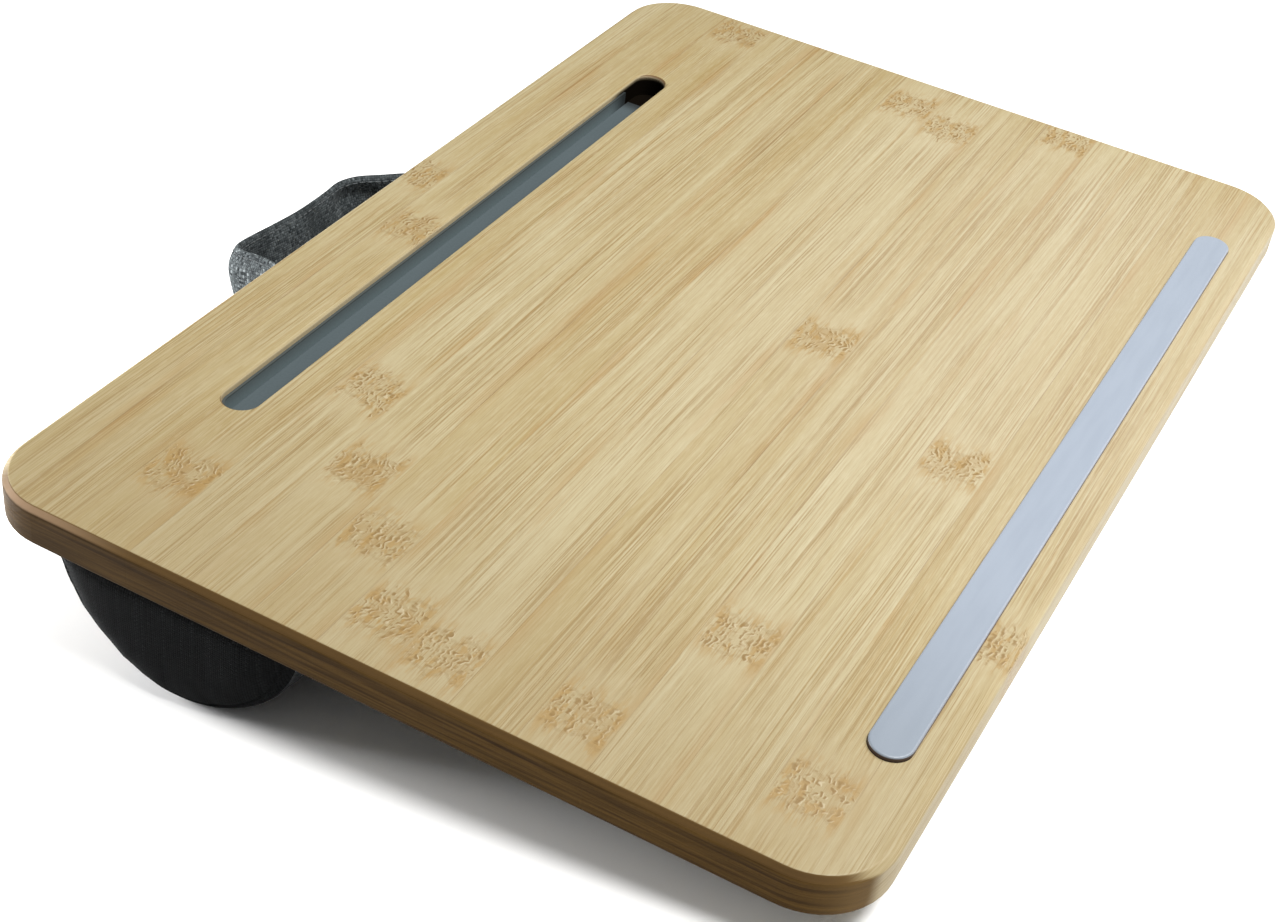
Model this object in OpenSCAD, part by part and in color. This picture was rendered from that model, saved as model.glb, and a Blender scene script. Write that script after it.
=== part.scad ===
// Lap desk: a bamboo board with a device slot and a stop strip, carried on a
// cushion of two rolls, a deep one at the rear and a shallow one at the front,
// with a soft carrying handle sewn to the rear roll.
// Row frame: X along the board's long side, Y from the front (user's) edge to
// the rear, Z up, origin on the table below the middle of the whole object.
// The desk is drawn resting on a table, so the board slopes down to the front.

/* [Board] */
// Length of the board along its long side
board_w = 430; // [400:1:460]
// Depth of the board from the front edge to the rear edge
board_d = 288; // [280:1:310]
// Thickness of the board
board_t = 13.5; // [12:0.5:16]
// Radius of the board's four corners in plan
corner_r = 23.5; // [15:0.5:30]
// Width of the bevel along the upper edge, seen from above
bevel_w = 2; // [1:0.25:3]
// Height of the bevel along the upper edge
bevel_h = 1.8; // [1:0.1:3]
// Radius of the eased lower edge
lower_round = 1; // [0.5:0.25:2]

/* [Device slot] */
// Overall length of the slot's clear opening
slot_l = 284; // [240:1:300]
// Clear width of the slot
slot_w = 12.8; // [11:0.1:15]
// Depth of the groove cut into the board
slot_depth = 9; // [7:0.5:9.5]
// Radius of the slot's eased mouth
slot_lip = 1.2; // [0.6:0.2:1.6]
// Distance from the rear edge to the slot's centre line
slot_inset = 38.8; // [34:0.2:46]
// How far the lining on the slot's floor stops short of the right end
floor_short = 13; // [8:1:60]
// How far the lining on the slot's walls stops short of the right end
wall_short = 16; // [8:1:70]
// Thickness of the lining strips
liner_t = 1; // [0.8:0.1:1.4]
// Height of the two strips on the slot's walls
liner_h = 6.5; // [3:0.25:6.75]

/* [Stop strip] */
// Length of the stop strip near the front edge
strip_l = 330; // [280:1:360]
// Width of the stop strip
strip_w = 13.3; // [10:0.1:16]
// Height of the stop strip above its tape
strip_t = 1.7; // [1.2:0.1:3]
// Depth of the shallow recess that the strip is stuck into
strip_recess = 0.4; // [0.35:0.05:0.8]
// Distance from the front edge to the strip's centre line
strip_inset = 17; // [15:0.5:24]
// Thickness of the adhesive tape under the strip
tape_t = 0.3; // [0.2:0.05:0.5]

/* [Cushion] */
// Half of the cushion's length
cush_x = 205; // [200:1:208]
// Thickness of the cover fabric with its backing
cloth_t = 1.2; // [0.8:0.1:1.6]
// Radius of the rear roll, cover included
roll_r = 45.5; // [42:0.5:46]
// Distance from the rear edge to the rear roll's axis
roll_inset = 65.5; // [64:0.5:68]
// Depth of the rear roll below the board where it rests on the table
roll_drop = 47; // [45:0.5:47]
// Half of the front pad's length
pad_x = 195; // [185:1:200]
// Distance from the front edge to the front pad's front wall
pad_inset = 12; // [11:0.5:16]
// Width of the front pad
pad_w = 64; // [56:1:70]
// Edge radius of the front pad's section
pad_r = 13; // [9:0.5:14]
// Thickness of the base panel inside the cover
panel_t = 3; // [2.5:0.5:4]

/* [Handle] */
// Width of the strap, which stands on edge
strap_w = 26; // [22:1:28]
// Thickness of the padded strap
strap_t = 4; // [3:0.2:4.4]
// Droop of the strap below the plane of the board, in degrees
strap_droop = 12.6; // [10:0.2:14]
// Length of each sewn end of the strap
tab_l = 26; // [20:1:30]

/* [Resting slope] */
// Slope of the board when the desk rests on a table, in degrees
tilt = 8.5; // [8:0.1:8.8]

/* [Hidden] */
$fn = 96;

// Board frame: origin at the middle of the board's underside, Y to the rear.
roll_y = board_d / 2 - roll_inset;            // axis of the rear roll
roll_z = -2.5;                                // height of that axis
base_z = roll_drop * cos(tilt) - roll_y * sin(tilt); // underside's height
pad_y0 = -board_d / 2 + pad_inset;            // front wall of the front pad
pad_y1 = pad_y0 + pad_w;                      // rear wall of the front pad
panel_top = -cloth_t;
panel_bot = -cloth_t - panel_t;
panel_x = cush_x - cloth_t;
panel_y0 = pad_y0 + cloth_t;
panel_y1 = roll_y + roll_r - cloth_t - 0.06;
turn_in = 14;                                 // fabric folded over the panel
slot_y = board_d / 2 - slot_inset;
strip_y = -board_d / 2 + strip_inset;
strip_gap = 0.2;                              // clearance round the strip
tape_z = board_t - strip_recess;
liner_x = -(slot_l - slot_w) / 2;             // axis of the slot's left end
strap_z = -3;                                 // strap's top edge at the roll

// Height of the table below the underside at board depth y, as a negative z
function table_z(y) = -(base_z + y * sin(tilt)) / cos(tilt);
function arc(cx, cy, r, a0, a1, n) = [for (i = [0:n])
    let(a = a0 + (a1 - a0) * i / n) [cx + r * cos(a), cy + r * sin(a)]];
// Points kept above the table, or above a layer of thickness t lying on it
function rest(pts, t) = [for (p = pts) [p[0], max(p[1], table_z(p[0]) + t / cos(tilt))]];
function rev(v) = [for (i = [len(v) - 1:-1:0]) v[i]];

module place() translate([0, shift_y, base_z]) rotate([tilt, 0, 0]) children();
// A section drawn in board Y and Z, run along X from x0 to x1
module along_x(x0, x1, pts)
    translate([x0, 0, 0]) rotate([90, 0, 90]) linear_extrude(height = x1 - x0) polygon(pts);
// A straight bar with half-round ends from a half section drawn from its axis
module race(l, w) {
    rotate([90, 0, 90]) linear_extrude(height = l - w, center = true) {
        children();
        mirror([1, 0]) children();
    }
    for (s = [0, 180]) rotate([0, 0, s]) translate([(l - w) / 2, 0, 0])
        rotate([0, 0, -90]) rotate_extrude(angle = 180) children();
}

// ---- board ----
// A corner at b between a and c, cut back by d along both sides and rounded off
function soft(a, b, c, d) = let(p = b + (a - b) * d / norm(a - b), q = b + (c - b) * d / norm(c - b))
    [for (i = [0:3]) let(t = i / 3) (1 - t) * (1 - t) * p + 2 * t * (1 - t) * b + t * t * q];
function bevel(r) = let(lo = [r, board_t - bevel_h], hi = [r - bevel_w, board_t])
    concat(soft([r, 0], lo, hi, 0.6), soft(lo, hi, [0, board_t], 0.35));
module edge_section(r) {
    difference() {
        polygon(concat([[0, 0], [r, 0]], bevel(r), [[0, board_t]]));
        translate([r - lower_round, -1]) difference() {
            square([lower_round + 1, lower_round + 1]);
            translate([0, lower_round + 1]) circle(r = lower_round);
        }
    }
}
module board_blank() {
    lx = board_w - 2 * corner_r;
    ly = board_d - 2 * corner_r;
    translate([-lx / 2, -ly / 2, 0]) cube([lx, ly, board_t]);
    for (s = [0, 180]) rotate([0, 0, s]) {
        translate([-lx / 2, ly / 2, 0]) rotate([90, 0, 90])
            linear_extrude(height = lx) edge_section(corner_r);
        translate([lx / 2, ly / 2, 0]) rotate([90, 0, 0])
            linear_extrude(height = ly) edge_section(corner_r);
        translate([lx / 2, ly / 2, 0]) rotate_extrude(angle = 90) edge_section(corner_r);
        translate([-lx / 2, ly / 2, 0]) rotate([0, 0, 90])
            rotate_extrude(angle = 90) edge_section(corner_r);
    }
}
module groove_section() {
    translate([0, board_t - slot_depth]) square([slot_w / 2, slot_depth + 1]);
    translate([slot_w / 2 - 0.001, board_t - slot_lip]) difference() {
        square([slot_lip, slot_lip + 1]);
        translate([slot_lip, 0]) circle(r = slot_lip);
    }
}
screw_xy = [for (x = [-150, 0, 150], y = [-48, 14]) [x, y]];
module top_board() color("burlywood") place() difference() {
    board_blank();
    translate([0, slot_y, 0]) race(slot_l, slot_w) groove_section();
    translate([0, strip_y, 0]) race(strip_l + 2 * strip_gap, strip_w + 2 * strip_gap)
        translate([0, board_t - strip_recess]) square([strip_w / 2 + strip_gap, 2]);
    for (p = screw_xy) translate([p[0], p[1], -1]) cylinder(r = 1.75, h = 10);
}

// ---- slot lining: a strip on the floor with a half-round left end, and one on
// each wall, bent a quarter turn round that end ----
module lining() color("slategray") place()
    translate([liner_x, slot_y, board_t - slot_depth + 0.02]) children();
module wall_strip(side) {
    r = slot_w / 2 - liner_t;
    t = liner_t - 0.05;
    translate([0, side > 0 ? r : -r - t, 0]) cube([slot_l / 2 - wall_short - liner_x, t, liner_h]);
    rotate([0, 0, side > 0 ? 90 : 180.5]) rotate_extrude(angle = 89.5)
        translate([r, 0]) square([t, liner_h]);
}
module slot_floor_strip() lining() linear_extrude(height = liner_t) {
    circle(r = slot_w / 2 - liner_t);
    translate([0, liner_t - slot_w / 2])
        square([slot_l / 2 - floor_short - liner_x, slot_w - 2 * liner_t]);
}
module slot_wall_strip_front() lining() wall_strip(-1);
module slot_wall_strip_rear() lining() wall_strip(1);

// ---- stop strip and its tape ----
module stop_strip() color("lightsteelblue") place()
    translate([0, strip_y, tape_z + tape_t]) race(strip_l, strip_w) difference() {
        square([strip_w / 2, strip_t]);
        translate([strip_w / 2 - 0.7, strip_t - 0.7]) difference() {
            square([1, 1]);
            circle(r = 0.7);
        }
    }
module stop_tape() color("dimgray") place()
    translate([0, strip_y, tape_z]) race(strip_l - 0.6, strip_w - 0.6)
        square([strip_w / 2 - 0.3, tape_t]);

// ---- base panel inside the cover, and what holds it ----
module base_panel() color("peru") place() difference() {
    translate([-panel_x, panel_y0, panel_bot]) cube([2 * panel_x, panel_y1 - panel_y0, panel_t]);
    for (p = screw_xy) translate([p[0], p[1], panel_bot - 1]) cylinder(r = 2, h = panel_t + 2);
}
web_bot = panel_bot - cloth_t;
module base_screws() color("silver") place() for (p = screw_xy)
    translate([p[0], p[1], web_bot]) {
        translate([0, 0, -2.6]) difference() {
            cylinder(r1 = 2.4, r2 = 3.4, h = 1.6);
            translate([-2.2, -0.4, -1]) cube([4.4, 0.8, 1.8]);
            translate([-0.4, -2.2, -1]) cube([0.8, 4.4, 1.8]);
        }
        translate([0, 0, -1]) cylinder(r = 1.7, h = 14);
    }
module cup_washers() color("gray") place() for (p = screw_xy)
    translate([p[0], p[1], web_bot - 1]) difference() {
        cylinder(r1 = 5, r2 = 6, h = 1);
        translate([0, 0, -1]) cylinder(r = 1.8, h = 3);
    }
// Staples through the folded-in fabric into the panel
staple_rear = [for (x = [-180:30:180]) [x, panel_y1 - 7, 0]];
staple_front = [for (x = [-180:30:180]) [x, panel_y0 + 7, 0]];
staple_left = [for (y = [-50:25:25]) [-panel_x + 7, y, 90]];
staple_right = [for (y = [-50:25:25]) [panel_x - 7, y, 90]];
module cover_staples() color("gainsboro") place()
    for (p = concat(staple_rear, staple_front, staple_left, staple_right))
        translate([p[0], p[1], 0]) rotate([0, 0, p[2]]) {
            translate([-5, -0.6, -0.55]) cube([10, 1.2, 0.5]);
            for (s = [-5, 4.4]) translate([s, -0.3, -3.6]) cube([0.6, 0.6, 3.3]);
        }

// ---- rear roll ----
roll_top = roll_y + roll_r;
function roll_arc(r, t) = rest(arc(roll_y, roll_z, r, 180, 360, 72), t);
module rear_foam() color("whitesmoke") place() along_x(-panel_x + 0.2, panel_x - 0.2,
    concat([[roll_y - roll_r + cloth_t + 0.2, panel_bot]],
        [for (p = roll_arc(roll_r - cloth_t - 0.2, cloth_t + 0.2)) if (p[1] < panel_bot - 0.3) p],
        [[roll_top - cloth_t - 0.2, panel_bot]]));
module rear_sleeve() color("dimgray") place() along_x(-panel_x, panel_x,
    concat([[roll_y - roll_r, panel_bot]],
        [for (p = roll_arc(roll_r, 0)) if (p[1] < panel_bot - 0.2) p],
        [[roll_top, roll_z], [roll_top, 0], [roll_top - cloth_t - turn_in, 0],
         [roll_top - cloth_t - turn_in, panel_top], [roll_top - cloth_t, panel_top],
         [roll_top - cloth_t, roll_z]],
        rev([for (p = roll_arc(roll_r - cloth_t, cloth_t)) if (p[1] < panel_bot - 0.2) p]),
        [[roll_y - roll_r + cloth_t, panel_bot]]));
module rear_cap(s) color("darkslategray") place() mirror([s > 0 ? 0 : 1, 0, 0]) {
    along_x(panel_x, cush_x, concat([[roll_y - roll_r, 0], [roll_y - roll_r, panel_bot]],
        [for (p = roll_arc(roll_r, 0)) if (p[1] < panel_bot - 0.2) p],
        [[roll_top, roll_z], [roll_top, 0]]));
    translate([panel_x - turn_in, roll_y - roll_r, panel_top])
        cube([turn_in + 0.01, 2 * roll_r - cloth_t - turn_in, cloth_t]);
}
module rear_cap_left() rear_cap(-1);
module rear_cap_right() rear_cap(1);

// ---- front pad ----
pad_xi = pad_x - cloth_t;
function pad_arc(g) = rest(concat(
    arc(pad_y0 + pad_r, table_z(pad_y0 + pad_r) + pad_r, pad_r - g, 180, 270, 16),
    arc(pad_y1 - pad_r, table_z(pad_y1 - pad_r) + pad_r, pad_r - g, 270, 360, 16)), g);
function pad_low(g) = [for (p = pad_arc(g)) if (p[1] < panel_bot - 0.2) p];
module front_foam() color("whitesmoke") place() along_x(-pad_xi + 0.2, pad_xi - 0.2,
    concat([[pad_y0 + cloth_t + 0.2, panel_bot]], pad_low(cloth_t + 0.2),
        [[pad_y1 - cloth_t - 0.2, panel_bot]]));
module front_sleeve() color("dimgray") place() {
    along_x(-pad_xi, pad_xi, concat([[pad_y0, panel_bot]], pad_low(0),
        [[pad_y1, panel_bot], [pad_y1 - cloth_t, panel_bot]], rev(pad_low(cloth_t)),
        [[pad_y0 + cloth_t, panel_bot]]));
    // front wall of the cover over the panel's edge, folded in on top of it
    along_x(-panel_x, panel_x, [[pad_y0, panel_bot], [pad_y0, 0],
        [pad_y0 + cloth_t + turn_in, 0], [pad_y0 + cloth_t + turn_in, panel_top],
        [pad_y0 + cloth_t, panel_top], [pad_y0 + cloth_t, panel_bot]]);
}
module front_cap(s) color("darkslategray") place() mirror([s > 0 ? 0 : 1, 0, 0])
    along_x(pad_xi, pad_x, concat([[pad_y0, panel_bot]], pad_low(0), [[pad_y1, panel_bot]]));
module front_cap_left() front_cap(-1);
module front_cap_right() front_cap(1);

// ---- fabric web between the roll and the pad, folded over the panel's sides ----
module centre_web() color("dimgray") place() difference() {
    union() {
        translate([-cush_x, pad_y1, web_bot])
            cube([2 * cush_x, roll_y - roll_r - pad_y1, cloth_t]);
        for (s = [0, 1]) mirror([s, 0, 0]) {
            // strips beside the front pad, out to the panel's edge
            translate([pad_x, pad_y0, web_bot]) cube([cush_x - pad_x, pad_w, cloth_t]);
            translate([panel_x, pad_y0, panel_bot])
                cube([cloth_t, roll_y - roll_r - pad_y0, panel_t + cloth_t]);
            translate([panel_x - turn_in, pad_y0 + cloth_t + turn_in, panel_top])
                cube([turn_in + 0.01, roll_y - roll_r - pad_y0 - cloth_t - turn_in, cloth_t]);
        }
    }
    for (p = screw_xy) translate([p[0], p[1], web_bot - 1]) cylinder(r = 2, h = cloth_t + 2);
}

// ---- handle: a padded strap on edge, its two ends sewn to the rear roll ----
// Control points of the strap's middle line: along X, and outwards from the roll
hang_pts = [[-59, 6], [-51, 16.4], [-43, 29.6], [-34.5, 44], [-29, 55], [-25.4, 62],
    [-18, 66.2], [-4, 64.6], [10, 63.4], [25, 63.6], [34, 64.6], [41, 60.6], [46, 51.4],
    [50.5, 43], [55, 30], [59, 16.4], [62.5, 6]];
function cr(a, b, c, d, t) = 0.5 * (2 * b + (c - a) * t + (2 * a - 5 * b + 4 * c - d) * t * t
    + (3 * b - a - 3 * c + d) * t * t * t);
hang_n = len(hang_pts);
hang_line = [for (i = [0:hang_n - 2], k = [0:3]) let(
        a = hang_pts[max(i - 1, 0)], b = hang_pts[i], c = hang_pts[i + 1],
        d = hang_pts[min(i + 2, hang_n - 1)]) if (k < 3 || i < hang_n - 1) cr(a, b, c, d, k / 4)];
hang_all = concat(hang_line, [hang_pts[hang_n - 1]]);
function side(v, g) = [for (i = [0:len(v) - 1]) let(
        p = v[max(i - 1, 0)], q = v[min(i + 1, len(v) - 1)], l = norm(q - p),
        n = [-(q[1] - p[1]) / l, (q[0] - p[0]) / l]) v[i] + g * n];
// Reach of the strap's outer face, and the shift that puts the origin below the
// middle of the whole object, from the board's front edge to the strap
hang_u = max([for (g = [-strap_t / 2, strap_t / 2], p = side(hang_all, g)) p[1]]);
row_y_hi = (roll_top + hang_u * cos(strap_droop)) * cos(tilt)
    - (strap_z - hang_u * sin(strap_droop)) * sin(tilt);
row_y_lo = -max([for (p = bevel(board_d / 2)) p[0] * cos(tilt) + p[1] * sin(tilt)]);
shift_y = -(row_y_hi + row_y_lo) / 2;
module band(g, w0, w1, cut) translate([0, 0, w0]) linear_extrude(height = w1 - w0)
    polygon(concat(side(hang_trim(cut), g), rev(side(hang_trim(cut), -g))));
function hang_trim(c) = [for (i = [c:len(hang_all) - 1 - c]) hang_all[i]];
// Handle frame: origin on the roll's rear wall at the height of the strap's top edge
module hang() place() translate([0, roll_top, strap_z]) rotate([-strap_droop, 0, 0]) children();
module handle_core() color("black") hang() band(1, -strap_w + 3, -3, 1);
module handle_strap() color("gray") hang() difference() {
    band(strap_t / 2, -strap_w, 0, 0);
    band(1.05, -strap_w + 2.95, -2.95, 1);
}
tab_a0 = -1;                                   // sewn ends, as angles on the roll
tab_a1 = tab_a0 - strap_w / (roll_r + 1.5) * 180 / PI;
module tab(x0, x1) color("gray") place() along_x(x0, x1, concat(
    arc(roll_y, roll_z, roll_r + 0.1, tab_a0, tab_a1, 16),
    arc(roll_y, roll_z, roll_r + 3, tab_a1, tab_a0, 16)));
module handle_tab_left() tab(-64 - tab_l, -64);
module handle_tab_right() tab(67, 67 + tab_l);

top_board();
slot_floor_strip();
slot_wall_strip_front();
slot_wall_strip_rear();
stop_strip();
stop_tape();
base_panel();
base_screws();
cup_washers();
cover_staples();
rear_foam();
rear_sleeve();
rear_cap_left();
rear_cap_right();
front_foam();
front_sleeve();
front_cap_left();
front_cap_right();
centre_web();
handle_tab_left();
handle_tab_right();
handle_strap();
handle_core();
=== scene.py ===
# Looks of the lap desk: bamboo board, lined device slot, stop strip, stuffed
# cloth cushion and cloth carrying handle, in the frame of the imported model.
# Lengths in the builders below are millimetres in the board's own frame (origin
# at the middle of the board's underside, X along it, Y to the rear, Z up).
import math
import random

import bmesh
import bpy
from mathutils import Matrix, Vector, noise


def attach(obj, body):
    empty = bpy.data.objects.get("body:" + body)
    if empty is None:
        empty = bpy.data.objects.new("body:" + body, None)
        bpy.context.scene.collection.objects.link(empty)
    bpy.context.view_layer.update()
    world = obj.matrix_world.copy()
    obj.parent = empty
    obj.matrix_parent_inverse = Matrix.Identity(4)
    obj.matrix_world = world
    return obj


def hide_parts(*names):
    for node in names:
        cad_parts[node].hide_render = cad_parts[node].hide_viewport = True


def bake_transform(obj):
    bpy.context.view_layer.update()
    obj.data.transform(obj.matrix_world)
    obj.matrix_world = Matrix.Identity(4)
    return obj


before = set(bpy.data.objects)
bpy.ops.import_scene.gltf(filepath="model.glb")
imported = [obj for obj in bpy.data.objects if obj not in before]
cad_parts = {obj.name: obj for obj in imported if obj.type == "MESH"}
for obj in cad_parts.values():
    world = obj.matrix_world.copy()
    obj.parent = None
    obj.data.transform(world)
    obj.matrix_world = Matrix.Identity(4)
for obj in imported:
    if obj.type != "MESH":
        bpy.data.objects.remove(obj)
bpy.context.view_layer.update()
scene = bpy.context.scene
scene.frame_set(1)

TILT = math.radians(8.5)
CT, ST = math.cos(TILT), math.sin(TILT)
SHIFT_Y, BASE_Z = -23.514376, 34.880707
ROLL_Y, ROLL_Z, ROLL_R = 78.5, -2.5, 45.5


def place(x, y, z):
    """Board frame in mm to the row frame in metres."""
    return Vector((x, y * CT - z * ST + SHIFT_Y, y * ST + z * CT + BASE_Z)) * 0.001


def turn(x, y, z):
    return Vector((x, y * CT - z * ST, y * ST + z * CT))


def table_z(y):
    return -(BASE_Z + y * ST) / CT


def smooth(a, b, x):
    t = min(1.0, max(0.0, (x - a) / (b - a)))
    return t * t * (3 - 2 * t)


def lerp(a, b, t):
    return a + (b - a) * t


def nz(x, y, z=0.0):
    return noise.noise(Vector((x, y, z)))


# ---------------------------------------------------------------- camera
cam_data = bpy.data.cameras.new("camera")
cam = bpy.data.objects.new("camera", cam_data)
scene.collection.objects.link(cam)
right = Vector((0.473407, -0.880562, -0.022284)).normalized()
fwd = Vector((0.727278, 0.405021, -0.554098)).normalized()
down = fwd.cross(right).normalized()
m = Matrix.Identity(4)
for i in range(3):
    m[i][0], m[i][1], m[i][2] = right[i], -down[i], -fwd[i]
m[0][3], m[1][3], m[2][3] = -0.553283, -0.29601, 0.399768
cam.matrix_world = m
cam_data.sensor_fit = "HORIZONTAL"
cam_data.sensor_width = 36.0
cam_data.lens = 57.6245
cam_data.clip_start = 0.01
cam_data.clip_end = 50
scene.camera = cam
scene.view_settings.view_transform = "Standard"
scene.view_settings.look = "None"

# ---------------------------------------------------------------- light
world = bpy.data.worlds.new("studio")
scene.world = world
world.use_nodes = True
world.node_tree.nodes["Background"].inputs["Color"].default_value = (1, 1, 1, 1)
world.node_tree.nodes["Background"].inputs["Strength"].default_value = 0.20


def sun(name, toward, strength, angle, color=(1, 1, 1)):
    data = bpy.data.lights.new(name, "SUN")
    data.energy = strength
    data.angle = math.radians(angle)
    data.color = color
    ob = bpy.data.objects.new(name, data)
    ob.rotation_euler = Vector(toward).to_track_quat("Z", "Y").to_euler()
    ob.location = Vector(toward)
    scene.collection.objects.link(ob)


def panel(name, where, aim, size, power, color=(1, 1, 1)):
    data = bpy.data.lights.new(name, "AREA")
    data.shape = "SQUARE"
    data.size = size
    data.energy = power
    data.color = color
    ob = bpy.data.objects.new(name, data)
    ob.location = where
    ob.rotation_euler = (Vector(where) - Vector(aim)).to_track_quat("Z", "Y").to_euler()
    scene.collection.objects.link(ob)


sun("key", (-0.10, -0.40, 1.0), 3.0, 20, (1.0, 0.995, 0.985))
panel("front", (0.11, -0.38, 0.56), (0.04, -0.06, 0.03), 0.36, 4.7)
panel("rear_left", (-0.25, 0.43, 0.120), (-0.16, 0.15, 0.015), 0.14, 2.9)

# ---------------------------------------------------------------- node helper


class Val:
    """A socket on which arithmetic adds Math nodes."""

    def __init__(self, mat, sock):
        self.mat, self.sock = mat, sock

    def op(self, name, *rest):
        return self.mat.math(name, self, *rest)

    def __add__(self, o):
        return self.op("ADD", o)

    __radd__ = __add__

    def __sub__(self, o):
        return self.op("SUBTRACT", o)

    def __rsub__(self, o):
        return self.mat.math("SUBTRACT", o, self)

    def __mul__(self, o):
        return self.op("MULTIPLY", o)

    __rmul__ = __mul__

    def __truediv__(self, o):
        return self.op("DIVIDE", o)

    def floor(self):
        return self.op("FLOOR")

    def fract(self):
        return self.op("FRACT")

    def abs(self):
        return self.op("ABSOLUTE")

    def sin(self):
        return self.op("SINE")

    def min(self, o):
        return self.op("MINIMUM", o)

    def max(self, o):
        return self.op("MAXIMUM", o)

    def less(self, o):
        return self.op("LESS_THAN", o)

    def power(self, o):
        return self.op("POWER", o)

    def step(self, a, b, lo=0.0, hi=1.0):
        """Smoothstep from lo at a to hi at b."""
        n = self.mat.node("ShaderNodeMapRange")
        n.interpolation_type = "SMOOTHSTEP"
        self.mat.put(n.inputs["Value"], self)
        n.inputs["From Min"].default_value = a
        n.inputs["From Max"].default_value = b
        n.inputs["To Min"].default_value = lo
        n.inputs["To Max"].default_value = hi
        return Val(self.mat, n.outputs["Result"])

    def line(self, a, b, lo=0.0, hi=1.0):
        n = self.mat.node("ShaderNodeMapRange")
        self.mat.put(n.inputs["Value"], self)
        n.inputs["From Min"].default_value = a
        n.inputs["From Max"].default_value = b
        n.inputs["To Min"].default_value = lo
        n.inputs["To Max"].default_value = hi
        return Val(self.mat, n.outputs["Result"])


class Mat:
    def __init__(self, name):
        self.m = bpy.data.materials.new(name)
        self.m.use_nodes = True
        self.t = self.m.node_tree
        self.t.nodes.clear()
        self.out = self.node("ShaderNodeOutputMaterial")
        self.bsdf = self.node("ShaderNodeBsdfPrincipled")
        self.t.links.new(self.bsdf.outputs[0], self.out.inputs[0])

    def node(self, kind):
        return self.t.nodes.new(kind)

    def put(self, sock, v):
        if isinstance(v, Val):
            self.t.links.new(v.sock, sock)
        elif isinstance(v, (tuple, list)):
            if len(v) == 3 and len(sock.default_value) == 4:
                v = (*v, 1)
            sock.default_value = v
        else:
            sock.default_value = v

    def set(self, **kw):
        for k, v in kw.items():
            self.put(self.bsdf.inputs[k.replace("_", " ")], v)

    def math(self, op, *args):
        n = self.node("ShaderNodeMath")
        n.operation = op
        for i, a in enumerate(args):
            self.put(n.inputs[i], a)
        return Val(self, n.outputs[0])

    def xyz(self, x, y, z):
        n = self.node("ShaderNodeCombineXYZ")
        for i, a in enumerate((x, y, z)):
            self.put(n.inputs[i], a)
        return Val(self, n.outputs[0])

    def split(self, v):
        n = self.node("ShaderNodeSeparateXYZ")
        self.put(n.inputs[0], v)
        return [Val(self, n.outputs[i]) for i in range(3)]

    def noise(self, x, y, z=0.0, detail=2.0, rough=0.5, distort=0.0):
        n = self.node("ShaderNodeTexNoise")
        self.put(n.inputs["Vector"], self.xyz(x, y, z))
        n.inputs["Scale"].default_value = 1.0
        n.inputs["Detail"].default_value = detail
        n.inputs["Roughness"].default_value = rough
        n.inputs["Distortion"].default_value = distort
        return Val(self, n.outputs[0])

    def white(self, x, y=0.0):
        n = self.node("ShaderNodeTexWhiteNoise")
        n.noise_dimensions = "3D"
        self.put(n.inputs["Vector"], self.xyz(x, y, 0.37))
        return Val(self, n.outputs["Value"])

    def mix(self, f, a, b, mode="MIX"):
        n = self.node("ShaderNodeMix")
        n.data_type = "RGBA"
        n.blend_type = mode
        self.put(n.inputs["Factor"], f)
        self.put(n.inputs[6], a)
        self.put(n.inputs[7], b)
        return Val(self, n.outputs[2])

    def object_coords(self):
        n = self.node("ShaderNodeTexCoord")
        return Val(self, n.outputs["Object"]), Val(self, n.outputs["Normal"])

    def board_coords(self):
        """Object coordinates turned into the board's frame, in mm."""
        co, nor = self.object_coords()
        n = self.node("ShaderNodeMapping")
        n.vector_type = "TEXTURE"
        self.put(n.inputs["Vector"], co)
        n.inputs["Location"].default_value = (0, SHIFT_Y * 0.001, BASE_Z * 0.001)
        n.inputs["Rotation"].default_value = (TILT, 0, 0)
        n.inputs["Scale"].default_value = (0.001, 0.001, 0.001)
        return self.split(Val(self, n.outputs[0])), self.split(nor)

    def bump(self, height, distance, strength=1.0):
        n = self.node("ShaderNodeBump")
        n.inputs["Strength"].default_value = strength
        n.inputs["Distance"].default_value = distance
        self.put(n.inputs["Height"], height)
        self.put(self.bsdf.inputs["Normal"], Val(self, n.outputs[0]))


# ---------------------------------------------------------------- bamboo
STRIP_W = 21.33
# Where the knuckles of each strip lie along it (two at most), and its tone,
# from the front edge's strip to the rear edge's
STRIPS = [
    (-105, 400, 0.45), (-186, 400, 0.62), (-31, 400, 0.40), (-144, 400, 0.35),
    (-197, 205, 0.50), (9, 400, 0.58), (-198, 180, 0.30), (-192, 190, 0.36),
    (-168, 400, 0.62), (-143, 400, 0.44), (-108, 400, 0.42), (-176, 201, 0.66),
    (-19, 400, 0.62), (16, 400, 0.58),
]


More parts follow.
